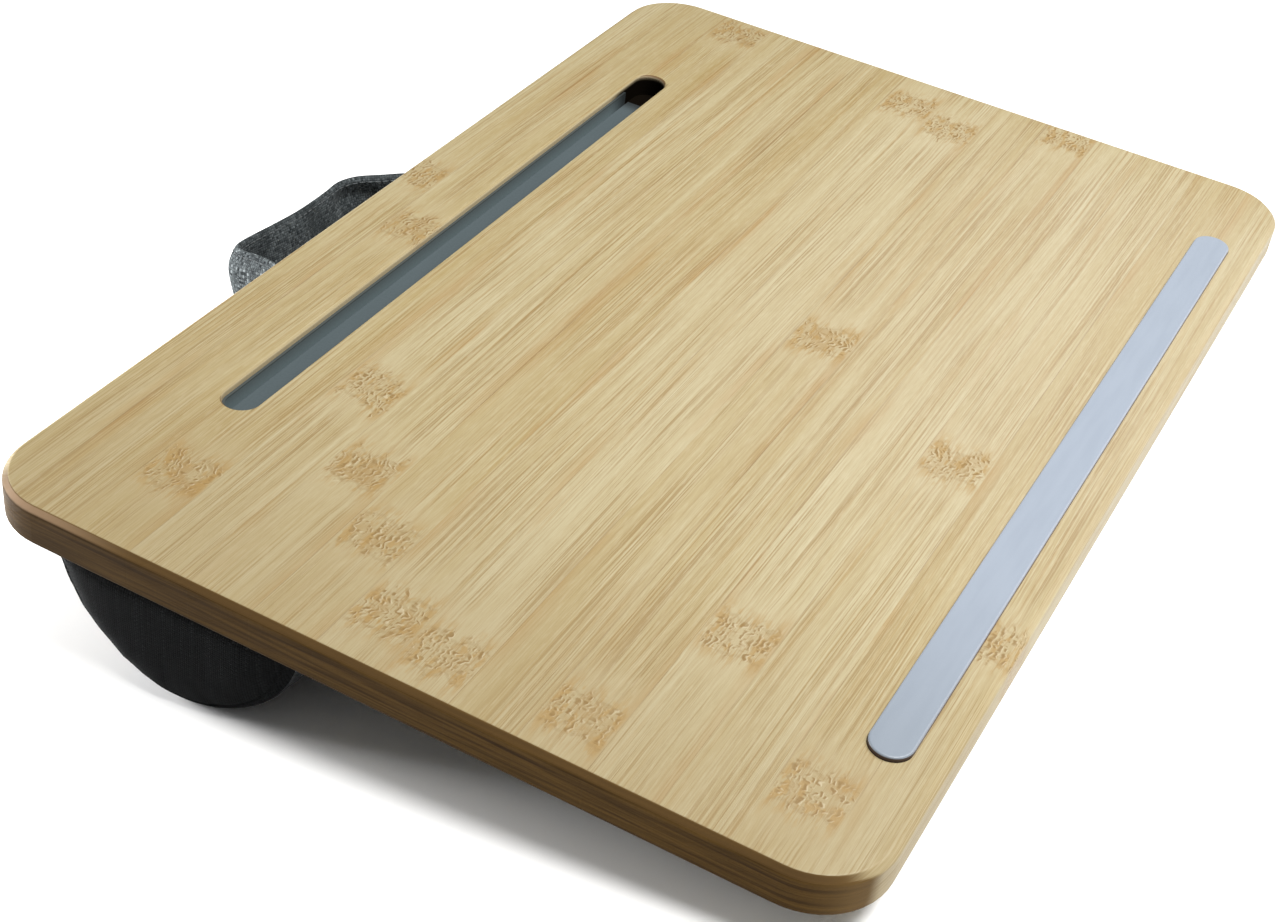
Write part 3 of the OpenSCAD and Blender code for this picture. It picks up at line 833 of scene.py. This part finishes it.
def make_roll_end(side):
    """Sewn end panel: a pillowed half-round closed over the end of the roll and
    of the base panel, with its edge tucked into the seam."""
    sx = -1 if side == "left" else 1
    a0 = 180 + math.degrees(math.asin(1.8 / ROLL_R))
    a1 = 360 - math.degrees(math.asin(1.8 / ROLL_R))
    na = 64
    outline = [(33.15, -4.2 * t) for t in (0.015, 0.33, 0.66, 1.0)]
    for i in range(1, na):
        outline.append(roll_point(lerp(a0, a1, i / na), sx * (SLEEVE_X - 2.2)))
    outline += [(123.85, -4.2 * t) for t in (1.0, 0.66, 0.33, 0.015)]
    outline += [(lerp(123.85, 33.15, i / 22), -0.06) for i in range(1, 22)]
    n = len(outline)
    cy, cz = 78.5, -17.0
    verts, faces, weave = [], [], []

    def layer(profile):
        first = len(verts)
        for f, x in profile:
            for y, z in outline:
                yy, zz = lerp(y, cy, f), lerp(z, cz, f)
                zz = max(zz, table_z(yy) + 0.3)
                verts.append(place(sx * x(f, yy, zz), yy, zz))
                # painted highlight: marks the rim's rear part, which the end panel's material paints paler
                rub_and_sheen = 0.6 * smooth(13.0, 1.0, f * 34.0) * smooth(74.0, 96.0, yy)
                weave.append((yy * 1.0, zz * 1.0, 2.0 + sx + rub_and_sheen))
        verts.append(place(sx * profile[-1][1](1.0, cy, cz), cy, cz))
        weave.append((cy, cz, 2.0 + sx))
        for r in range(len(profile) - 1):
            for j in range(n):
                a, b = first + r * n + j, first + r * n + (j + 1) % n
                faces.append((a, b, b + n, a + n))
        last = first + (len(profile) - 1) * n
        for j in range(n):
            faces.append((last + j, last + (j + 1) % n, len(verts) - 1))
        return first

    def dome(f, y, z):
        d = f * 34.0
        rise = 4.6 * (1 - (1 - min(1.0, d / 17.0)) ** 2.4)
        low = smooth(-2.0, -9.0, z)
        puck = 0.30 * smooth(0.4, 3.0, d) * smooth(20.0, 5.0, d) * nz(
            math.atan2(z - cz, y - cy) * 5.2, 5.0 * sx, d * 0.03) * 1.8
        slack = 0.7 * nz(y * 0.05, z * 0.05, 4.0 * sx) * smooth(2, 14, d)
        curl = 1.3 * max(0.0, 1 - d / 2.0) ** 2
        groove = 0.7 * math.exp(-((d - 2.85) / 0.6) ** 2) * low
        return SLEEVE_X + 1.35 + (rise + slack) * low + puck * low - curl - groove

    fr = [0.0, 0.012, 0.03, 0.05, 0.066, 0.076, 0.081, 0.085, 0.091, 0.103, 0.12, 0.15, 0.2, 0.28, 0.37, 0.47, 0.58, 0.7, 0.84]
    top = layer([(f, dome) for f in fr])
    bottom = layer([(f, lambda f, y, z: SLEEVE_X + 0.02) for f in fr])
    for j in range(n):
        a, b = top + j, top + (j + 1) % n
        c, d = bottom + (j + 1) % n, bottom + j
        faces.append((a, b, c, d))
    # its turned-in edge, lying on the panel
    x0, x1 = 190.0, 203.5
    base = len(verts)
    nx_, ny_ = 6, 24
    for zz in (-0.08, -1.15):
        for i in range(nx_ + 1):
            for j in range(ny_ + 1):
                x, y = lerp(x0, x1, i / nx_), lerp(33.3, 108.6, j / ny_)
                inset = 0.25 if zz > -0.5 and (i == 0 or j in (0, ny_)) else 0.0
                verts.append(place(sx * x, y, zz - inset))
                weave.append((y, x, 2.0 + sx))
    m1 = (nx_ + 1) * (ny_ + 1)
    idx = lambda l, i, j: base + l * m1 + i * (ny_ + 1) + j
    for l in (0, 1):
        for i in range(nx_):
            for j in range(ny_):
                faces.append((idx(l, i, j), idx(l, i + 1, j), idx(l, i + 1, j + 1), idx(l, i, j + 1)))
    for i in range(nx_):
        faces.append((idx(0, i, 0), idx(0, i + 1, 0), idx(1, i + 1, 0), idx(1, i, 0)))
        faces.append((idx(0, i, ny_), idx(0, i + 1, ny_), idx(1, i + 1, ny_), idx(1, i, ny_)))
    for j in range(ny_):
        faces.append((idx(0, 0, j), idx(0, 0, j + 1), idx(1, 0, j + 1), idx(1, 0, j)))
        faces.append((idx(0, nx_, j), idx(0, nx_, j + 1), idx(1, nx_, j + 1), idx(1, nx_, j)))
    ob = outward(piece("rear_end_" + side, verts, faces, cover_end_painted_shade, weave))
    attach(ob, "desk")
    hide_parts("rear_cap_" + side)
    return ob


roll = make_roll()
for side in ("left", "right"):
    make_roll_end(side)

# ---------------------------------------------------------------- front pad
PAD_Y0, PAD_Y1, PAD_R = -132.0, -68.0, 13.0
PAD_SX = 193.6


def pad_section():
    """(y, z, outward y, outward z) from the rear top edge round to the front."""
    pts = []
    zr, zf = table_z(PAD_Y1 - PAD_R) + PAD_R, table_z(PAD_Y0 + PAD_R) + PAD_R
    for i in range(4):
        pts.append((PAD_Y1, lerp(-4.3, zr, i / 4), 1, 0))
    for i in range(9):
        a = math.radians(-90 * i / 8)
        pts.append((PAD_Y1 - PAD_R + PAD_R * math.cos(a), zr + PAD_R * math.sin(a),
                    math.cos(a), math.sin(a)))
    for i in range(1, 11):
        y = lerp(PAD_Y1 - PAD_R, PAD_Y0 + PAD_R, i / 11)
        pts.append((y, table_z(y), 0, -1))
    for i in range(9):
        a = math.radians(-90 - 90 * i / 8)
        pts.append((PAD_Y0 + PAD_R + PAD_R * math.cos(a), zf + PAD_R * math.sin(a),
                    math.cos(a), math.sin(a)))
    for i in range(1, 4):
        z = lerp(zf, -4.3, i / 3)
        pts.append((PAD_Y0, z, -1, 0))
    return pts


def pad_point(p, x):
    y, z, ny_, nz_ = p
    d = PAD_SX - abs(x)
    deep = smooth(-4.6, -9.0, z)
    crown = 1 - math.sqrt(max(0.0, 1 - (1 - min(1.0, d / 14.0)) ** 2.2))
    curl = 1.1 * max(0.0, 1 - d / 2.4) ** 2
    pull = (2.2 * crown + curl) * deep
    puck = smooth(0.5, 4.0, d) * smooth(20.0, 6.0, d)
    pull -= 0.34 * puck * deep * nz(y * 0.16, z * 0.16, 2.2 if x < 0 else 6.1) * 1.8
    pull -= 0.35 * nz(x * 0.022, y * 0.03, 9.0) * deep
    return y - ny_ * pull, z - nz_ * pull


def make_pad():
    sec = pad_section()
    n = 108
    xs = sorted(set([-PAD_SX + 2 * PAD_SX * i / n for i in range(n + 1)]
                    + [s * (PAD_SX - e) for s in (-1, 1) for e in (1.1, 2.4)]))
    verts, weave, pinned = [], [], []
    ntop = 12
    length = [0.0]
    for p, q in zip(sec, sec[1:]):
        length.append(length[-1] + math.hypot(p[0] - q[0], p[1] - q[1]))
    for x in xs:
        for i, p in enumerate(sec):
            y, z = pad_point(p, x)
            z = max(z, table_z(y) + 0.25)
            verts.append(place(x, y, z))
            weave.append((x, length[i], 4.0))
            if i < 2 or i > len(sec) - 3 or abs(x) > PAD_SX - 1.0:
                pinned.append(len(verts) - 1)
        for j in range(1, ntop):
            verts.append(place(x, lerp(PAD_Y0, PAD_Y1, j / ntop), -4.3))
            weave.append((x, length[-1] + j * 5.3, 4.0))
            pinned.append(len(verts) - 1)
    ring = len(sec) + ntop - 1
    faces = []
    for i in range(len(xs) - 1):
        for j in range(ring):
            a, b = i * ring + j, i * ring + (j + 1) % ring
            faces.append((a, b, b + ring, a + ring))
    faces.append(tuple(reversed(range(ring))))
    faces.append(tuple((len(xs) - 1) * ring + j for j in range(ring)))
    ob = outward(piece("front_pad", verts, faces, cover, weave))
    inflate(ob, pinned, 2.0, 1.8, -0.012)
    subdivide(ob)
    for v in ob.data.vertices:
        if v.co.z < 0.0009:
            v.co.z = 0.0003 + 0.0006 * math.exp((v.co.z - 0.0009) / 0.0006)
    ob.data.update()
    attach(ob, "desk")
    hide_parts("front_sleeve", "front_foam")
    return ob


def make_pad_end(side):
    sx = -1 if side == "left" else 1
    sec = pad_section()
    outline = [pad_point(p, sx * (PAD_SX - 2.0)) for p in sec]
    outline += [(lerp(PAD_Y0, PAD_Y1, i / 16), -4.3) for i in range(1, 16)]
    n = len(outline)
    cy, cz = -100.0, -14.0
    verts, faces, weave = [], [], []

    def dome(f, y, z):
        d = f * 14.0
        rise = 1.9 * (1 - (1 - min(1.0, d / 13.0)) ** 2.2)
        low = smooth(-4.2, -8.0, z)
        slack = 0.35 * nz(y * 0.07, z * 0.07, 7.0 * sx) * smooth(1, 6, d)
        curl = 1.2 * max(0.0, 1 - d / 1.8) ** 2
        return PAD_SX + 1.3 + (rise + slack) * low - curl

    fr = [0.0, 0.03, 0.07, 0.13, 0.22, 0.34, 0.5, 0.7]
    firsts = []
    for fn in (dome, lambda f, y, z: PAD_SX + 0.02):
        first = len(verts)
        firsts.append(first)
        for f in fr:
            for y, z in outline:
                yy, zz = lerp(y, cy, f), lerp(z, cz, f)
                zz = max(zz, table_z(yy) + 0.3)
                verts.append(place(sx * fn(f, yy, zz), yy, zz))
                weave.append((yy, zz, 5.0 + sx))
        verts.append(place(sx * fn(1.0, cy, cz), cy, cz))
        weave.append((cy, cz, 5.0 + sx))
        for r in range(len(fr) - 1):
            for j in range(n):
                a, b = first + r * n + j, first + r * n + (j + 1) % n
                faces.append((a, b, b + n, a + n))
        last = first + (len(fr) - 1) * n
        for j in range(n):
            faces.append((last + j, last + (j + 1) % n, len(verts) - 1))
    for j in range(n):
        faces.append((firsts[0] + j, firsts[0] + (j + 1) % n, firsts[1] + (j + 1) % n, firsts[1] + j))
    ob = outward(piece("front_end_" + side, verts, faces, cover_end_painted_shade, weave))
    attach(ob, "desk")
    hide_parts("front_cap_" + side)
    return ob


make_pad()
for side in ("left", "right"):
    make_pad_end(side)


# ---------------------------------------------------------------- flat cloth of the cover
def bend_path(pts, r, n=4):
    """Polyline with its corners rounded to radius r."""
    out = [pts[0]]
    for a, b, c in zip(pts, pts[1:], pts[2:]):
        ab, cb = Vector(a) - Vector(b), Vector(c) - Vector(b)
        ra = min(r, ab.length * 0.45, cb.length * 0.45)
        p, q = Vector(b) + ab.normalized() * ra, Vector(b) + cb.normalized() * ra
        for i in range(n + 1):
            t = i / n
            out.append(tuple(p.lerp(Vector(b), t).lerp(Vector(b).lerp(q, t), t)))
    out.append(pts[-1])
    return out


def resample(pts, gap):
    out = [pts[0]]
    for a, b in zip(pts, pts[1:]):
        d = math.dist(a, b)
        n = max(1, round(d / gap))
        for i in range(1, n + 1):
            out.append(tuple(lerp(x, y, i / n) for x, y in zip(a, b)))
    return out


def make_facing(name, section, x_half, weave_id, rests):
    """A band of cover cloth folded over the base panel's long edge."""
    pts = resample(bend_path(section, 0.9), 2.2)
    acc = [0.0]
    for p, q in zip(pts, pts[1:]):
        acc.append(acc[-1] + math.dist(p, q))
    nxs = 136
    verts, weave, faces = [], [], []
    for i in range(nxs + 1):
        x = lerp(-x_half, x_half, i / nxs)
        for j, (y, z) in enumerate(pts):
            wob = 0.10 * nz(x * 0.08, j * 0.6, weave_id)
            verts.append(place(x, y + wob, z))
            weave.append((x, acc[j], weave_id))
    k = len(pts)
    for i in range(nxs):
        for j in range(k - 1):
            a = i * k + j
            faces.append((a, a + 1, a + k + 1, a + k))
    ob = piece(name, verts, faces, cover, weave)
    outward(ob)
    thicken(ob, 1.08)
    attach(ob, "desk")
    return ob


make_facing("rear_facing", [(123.42, -4.75), (123.42, -0.62), (109.2, -0.62)], 203.5, 10.0, "rear_roll")
make_facing("front_facing", [(-131.42, -4.75), (-131.42, -0.62), (-117.2, -0.62)], 203.5, 11.0, "front_pad")

SCREWS = [(x, y) for x in (-150, 0, 150) for y in (-48, 14)]


def web_drop(x, y):
    """How far the web hangs below the panel, in mm: held at screws and edges."""
    h = 1.0
    for sx_, sy_ in SCREWS:
        h *= 1 - math.exp(-((x - sx_) ** 2 + (y - sy_) ** 2) / 20.0 ** 2)
    edge = smooth(0, 22, 205 - abs(x)) * smooth(0, 16, min(33 - y, y + 68) + 2)
    wave = 0.75 + 0.6 * nz(x * 0.03, y * 0.05, 3.3) + 0.25 * nz(x * 0.09, y * 0.02, 8.0)
    pull = 0.0
    for sx_, sy_ in SCREWS:
        dx, dy = x - sx_, y - sy_
        d = math.hypot(dx, dy)
        if d < 34:
            pull += 0.16 * math.sin(5 * math.atan2(dy, dx) + sx_) * smooth(5, 12, d) * smooth(34, 14, d)
    return max(0.0, 1.25 * h * edge * wave + pull * edge)


def make_web():
    prof = resample(bend_path([(-190.2, -0.62), (-204.4, -0.62), (-204.4, -4.80), (204.4, -4.80),
                               (204.4, -0.62), (190.2, -0.62)], 1.0), 4.0)
    acc = [0.0]
    for p, q in zip(prof, prof[1:]):
        acc.append(acc[-1] + math.dist(p, q))
    ys = resample([(-131.9,), (-116.6,), (-68.0,), (33.0,)], 3.2)
    ys = [y[0] for y in ys]
    verts, weave, faces = [], [], []
    k = len(prof)
    for y in ys:
        for j, (x, z) in enumerate(prof):
            zz = z
            if z < -4.5 and abs(x) < 203:
                zz = z - (web_drop(x, y) if y > -68.0 else 0.0)
            verts.append(place(x, y, zz))
            weave.append((acc[j] - 225, y, 12.0))
    for i in range(len(ys) - 1):
        for j in range(k - 1):
            mid = (prof[j][0] + prof[j + 1][0]) / 2
            low = prof[j][1] < -4.5 and prof[j + 1][1] < -4.5
            if ys[i + 1] <= -67.9 and low and abs(mid) < 195.2:
                continue
            if ys[i + 1] <= -116.5 and prof[j][1] > -1.2 and prof[j + 1][1] > -1.2 and abs(mid) < 203.4:
                continue
            a = i * k + j
            faces.append((a, a + 1, a + k + 1, a + k))
    used = sorted({v for f in faces for v in f})
    remap = {v: i for i, v in enumerate(used)}
    ob = piece("centre_web_cloth", [verts[v] for v in used], [tuple(remap[v] for v in f) for f in faces],
               cover, [weave[v] for v in used])
    outward(ob)
    thicken(ob, 1.08)
    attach(ob, "desk")
    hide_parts("centre_web")
    return ob


make_web()

# ---------------------------------------------------------------- handle
DROOP = math.radians(12.6)
HANG = [(-59, 6), (-51, 16.4), (-43, 29.6), (-34.9, 44), (-31.2, 55), (-29.8, 62.2), (-26.4, 67.6),
        (-19.4, 67.7), (-5, 65.0), (10, 63.4), (25, 63.6), (34, 64.6), (41, 60.6), (46, 51.4), (50.5, 43),
        (55, 30), (59, 16.4), (62.5, 6)]
PATH = [(-90, 1.55), (-84, 1.55), (-76, 1.55), (-69.5, 1.6), (-64.2, 2.6)] + HANG + \
       [(65.6, 2.7), (70.5, 1.6), (77, 1.55), (86, 1.55), (93, 1.55)]


def catmull(pts, per):
    out = []
    n = len(pts)
    for i in range(n - 1):
        a, b, c, d = (Vector(pts[max(0, min(n - 1, j))]) for j in (i - 1, i, i + 1, i + 2))
        for k in range(per):
            t = k / per
            out.append(0.5 * (2 * b + (c - a) * t + (2 * a - 5 * b + 4 * c - d) * t * t
                              + (3 * b - a - 3 * c + d) * t ** 3))
    out.append(Vector(pts[-1]))
    return out


def even(pts, gap):
    acc = [0.0]
    for p, q in zip(pts, pts[1:]):
        acc.append(acc[-1] + (q - p).length)
    n = round(acc[-1] / gap)
    out, j = [], 0
    for i in range(n + 1):
        d = acc[-1] * i / n
        while j < len(acc) - 2 and acc[j + 1] < d:
            j += 1
        t = (d - acc[j]) / max(1e-9, acc[j + 1] - acc[j])
        out.append(pts[j].lerp(pts[j + 1], t))
    return out, acc[-1]


def on_tab(x, u, w):
    a = math.radians(-1.0) + w / (ROLL_R + 1.5)
    r = ROLL_R + u
    return Vector((x, ROLL_Y + r * math.cos(a), ROLL_Z + r * math.sin(a)))


def on_loop(x, u, w):
    # outwards u along the drooping plane, w up across the strap
    y = 124 + u * math.cos(DROOP) + w * math.sin(DROOP)
    z = -3 - u * math.sin(DROOP) + w * math.cos(DROOP)
    return Vector((x, y, z))


def make_handle():
    line, total = even(catmull(PATH, 10), 1.9)
    n = len(line)

    def mid(i, w):
        i = max(0, min(n - 1, i))
        x, u = line[i]
        free = smooth(1.7, 9.0, u)
        tip = smooth(20, 60, u)
        # the upper edge leans out a little over the loop, and the far part twists
        lean = tip * (w + 13) / 13 * 0.5
        # the corner of the near bend is stuffed and bellies out below its top edge
        belly = math.exp(-((x + 29) / 9.5) ** 2) * smooth(42, 58, u) * smooth(0.5, -9.0, w)
        return on_tab(x, u, w).lerp(on_loop(x - 3.2 * belly, u + lean + 2.6 * belly, w), free)

    # curvature, for the creases at the bends
    curve = []
    for i in range(n):
        a, b, c = line[max(0, i - 3)], line[i], line[min(n - 1, i + 3)]
        d1, d2 = (b - a), (c - b)
        if d1.length < 1e-6 or d2.length < 1e-6:
            curve.append(0.0)
        else:
            curve.append((d1.x * d2.y - d1.y * d2.x) / (d1.length * d2.length))
    ns = 30
    sec = []
    for j in range(ns):
        g = (j + 0.5) / ns * math.tau - math.pi / 2 + math.pi
        c, s = math.cos(g), math.sin(g)
        sec.append((math.copysign(abs(s) ** 0.62, s), math.copysign(abs(c) ** 0.85, c)))
    # sec: (across -1..1 upwards, thickness -1..1), starting at the lower edge
    sec = [(-a, b) for a, b in sec]
    accs = [0.0]
    for p, q in zip(sec, sec[1:]):
        accs.append(accs[-1] + math.hypot((p[0] - q[0]) * 13, (p[1] - q[1]) * 2))
    verts, weave, faces = [], [], []
    frames = []
    for i in range(n):
        s = total * i / (n - 1)
        x, u = line[i]
        tabness = 1 - smooth(1.7, 7.0, u)
        half = lerp(2.0, 1.42, tabness)
        end = min(s, total - s)
        half *= math.sqrt(max(0.04, 1 - (1 - min(1.0, end / 2.2)) ** 2))
        shortw = 1 - 0.02 * smooth(3.0, 0.0, end)
        crease = abs(curve[i])
        rows = []
        for j, (aw, th) in enumerate(sec):
            w = -13 + 12.9 * aw * shortw
            p = mid(i, w)
            ds = mid(i + 1, w) - mid(i - 1, w)
            dw = mid(i, w + 0.5) - mid(i, w - 0.5)
            nor = ds.cross(dw).normalized()
            t = th * half
            # edges sewn down: thin seam allowance and a soft body between
            seam = 0.22 * math.exp(-((abs(aw) - 0.80) / 0.055) ** 2)
            t -= math.copysign(seam, th) * min(1.0, abs(th) * 2)
            free = 1 - tabness
            # padding unevenness and creases across the bends
            lump = 0.22 * nz(s * 0.09, aw * 1.1, 2.0 if th > 0 else 7.0) * free
            fold = 0.62 * min(1.0, crease * 1.6) * nz(s * 0.26, aw * 0.55, 5.0) * free
            wave = 0.8 * nz(s * 0.028, aw * 0.5, 11.0) * free
            # the loop buckles inwards where it turns back to the roll
            far = smooth(24, 36, x) * smooth(8, 24, u)
            wave += far * (1.3 * math.exp(-((aw - 0.84) / 0.15) ** 2)
                           - 3.0 * math.exp(-((aw - 0.42) / 0.27) ** 2)
                           + 1.2 * math.exp(-((aw + 0.25) / 0.30) ** 2))
            mids = smooth(40, 60, u)
            wave -= 1.7 * mids * math.exp(-((x - 16) / 6.5) ** 2 - ((aw - 0.30) / 0.42) ** 2)
            wave += 1.0 * mids * math.exp(-((x - 3) / 6.0) ** 2 - ((aw - 0.45) / 0.40) ** 2)
            wave -= 1.5 * mids * math.exp(-((x + 16) / 5.5) ** 2 - ((aw - 0.10) / 0.55) ** 2)
            p = p + nor * (t + (lump + fold) * (1 if th > 0 else -1) * min(1.0, abs(th) * 2) + wave)
            rows.append(p)
            verts.append(place(*p))
            weave.append((s, accs[j], 21.0 if th > 0 else 20.0))
        frames.append(rows)
    for i in range(n - 1):
        for j in range(ns):
            a, b = i * ns + j, i * ns + (j + 1) % ns
            faces.append((a, b, b + ns, a + ns))
    for i in (0, n - 1):
        c = sum((verts[i * ns + j] for j in range(ns)), Vector()) / ns
        verts.append(c)
        weave.append((total * i / (n - 1), 26.0, 20.0))
        for j in range(ns):
            faces.append((i * ns + j, i * ns + (j + 1) % ns, len(verts) - 1))
    ob = outward(piece("handle_loop", verts, faces, strap_cloth, weave))
    subdivide(ob)

    # stitching along both edges, on both faces, and boxed crosses on the tabs
    def face_point(i, aw, outer):
        """Surface point and normal: outer is the side away from the opening."""
        best, bj = 9.0, 0
        for j, (a, th) in enumerate(sec):
            if (th > 0) == outer and abs(a - aw) < best:
                best, bj = abs(a - aw), j
        return frames[i][bj]

    def normal_at(i, j):
        a = frames[max(0, i - 1)][j]
        b = frames[min(n - 1, i + 1)][j]
        c, d = frames[i][(j - 1) % ns], frames[i][(j + 1) % ns]
        return (b - a).cross(d - c).normalized()

    def nearest(aw, positive):
        return min((j for j in range(ns) if (sec[j][1] > 0) == positive), key=lambda j: abs(sec[j][0] - aw))

    runs = []
    for positive in (True, False):
        for aw in (-0.80, 0.80):
            j = nearest(aw, positive)
            centre_i = n // 2
            nor = normal_at(centre_i, j)
            out_dir = (frames[centre_i][j] - frames[centre_i][nearest(aw, not positive)]).normalized()
            sign = 1 if nor.dot(out_dir) > 0 else -1
            run = []
            for i in range(2, n - 2):
                nn = normal_at(i, j) * sign
                run.append((place(*frames[i][j]), turn(*nn)))
            runs.append(run)
    # tabs: cross and box on the face away from the roll
    tab_is = [i for i in range(n) if line[i][0] < -66.5], [i for i in range(n) if line[i][0] > 69.5]
    pos_out = True
    i_mid = tab_is[0][len(tab_is[0]) // 2]
    pj, nj = nearest(0.0, True), nearest(0.0, False)
    if (frames[i_mid][pj] - Vector((0, ROLL_Y, ROLL_Z))).yz.length < \
            (frames[i_mid][nj] - Vector((0, ROLL_Y, ROLL_Z))).yz.length:
        pos_out = False

    def tab_point(t, aw, ids):
        fi = t * (len(ids) - 1)
        i0 = int(min(len(ids) - 2, math.floor(fi)))
        i = ids[0] + i0
        js = sorted((j for j in range(ns) if (sec[j][1] > 0) == pos_out), key=lambda j: sec[j][0])
        for ja, jb in zip(js, js[1:]):
            if sec[ja][0] <= aw <= sec[jb][0]:
                q = (aw - sec[ja][0]) / (sec[jb][0] - sec[ja][0])
                p = frames[i][ja].lerp(frames[i][jb], q).lerp(
                    frames[i + 1][ja].lerp(frames[i + 1][jb], q), fi - i0)
                axis = Vector((p.x, ROLL_Y, ROLL_Z))
                return place(*p), turn(*(p - axis).normalized())
        return None

    for ids in tab_is:
        for a, b in (((0.1, -0.72), (0.1, 0.72)), ((0.92, -0.72), (0.92, 0.72)),
                     ((0.1, -0.72), (0.92, 0.72)), ((0.1, 0.72), (0.92, -0.72))):
            run = []
            for q in range(25):
                pt = tab_point(lerp(a[0], b[0], q / 24), lerp(a[1], b[1], q / 24), ids)
                if pt:
                    run.append(pt)
            runs.append(run)
    st = stitches("handle_stitching", runs, thread_grey, pitch=3.1, length=2.2, radius=0.24, lift=0.02)

    # hinge point and outward direction of the bend just outside the roll, between the cushion and the loop; they are
    # not used further
    hinge = place(0, 121.2, -15.7)
    out = turn(0, math.cos(DROOP), -math.sin(DROOP)).normalized()
    for o in (ob, st):
        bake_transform(o)
    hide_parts("handle_strap", "handle_core", "handle_tab_left", "handle_tab_right")
    return ob


make_handle()


# ---------------------------------------------------------------- seams of the cover
def seam_runs():
    runs = []
    down = turn(0, 0, -1).normalized()
    back = turn(0, 1, 0).normalized()
    # along the facings, just above the seam
    for y, sgn in ((123.96, 1), (-131.96, -1)):
        runs.append([(place(x, y, -2.6), back * sgn) for x in range(-200, 201, 4)])
    # along the web, beside the roll and beside the pad
    for y in (30.2, -65.4):
        runs.append([(place(x, y, -5.34 - web_drop(x, y)), down) for x in range(-200, 201, 4)])
    return runs


st = stitches("cover_stitching", seam_runs(), thread_dark, pitch=3.4, length=2.4, radius=0.24, lift=0.05)
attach(st, "desk")

# ---------------------------------------------------------------- floor
fl = bpy.data.meshes.new("floor")
S = 5.0
fl.from_pydata([(-S, -S, 0), (S, -S, 0), (S, S, 0), (-S, S, 0)], [], [(0, 1, 2, 3)])
floor = bpy.data.objects.new("floor", fl)
scene.collection.objects.link(floor)
F = Mat("floor_white")
F.set(Base_Color=(0.96, 0.96, 0.96), Roughness=0.9, Specular_IOR_Level=0.1)
fl.materials.append(F.m)
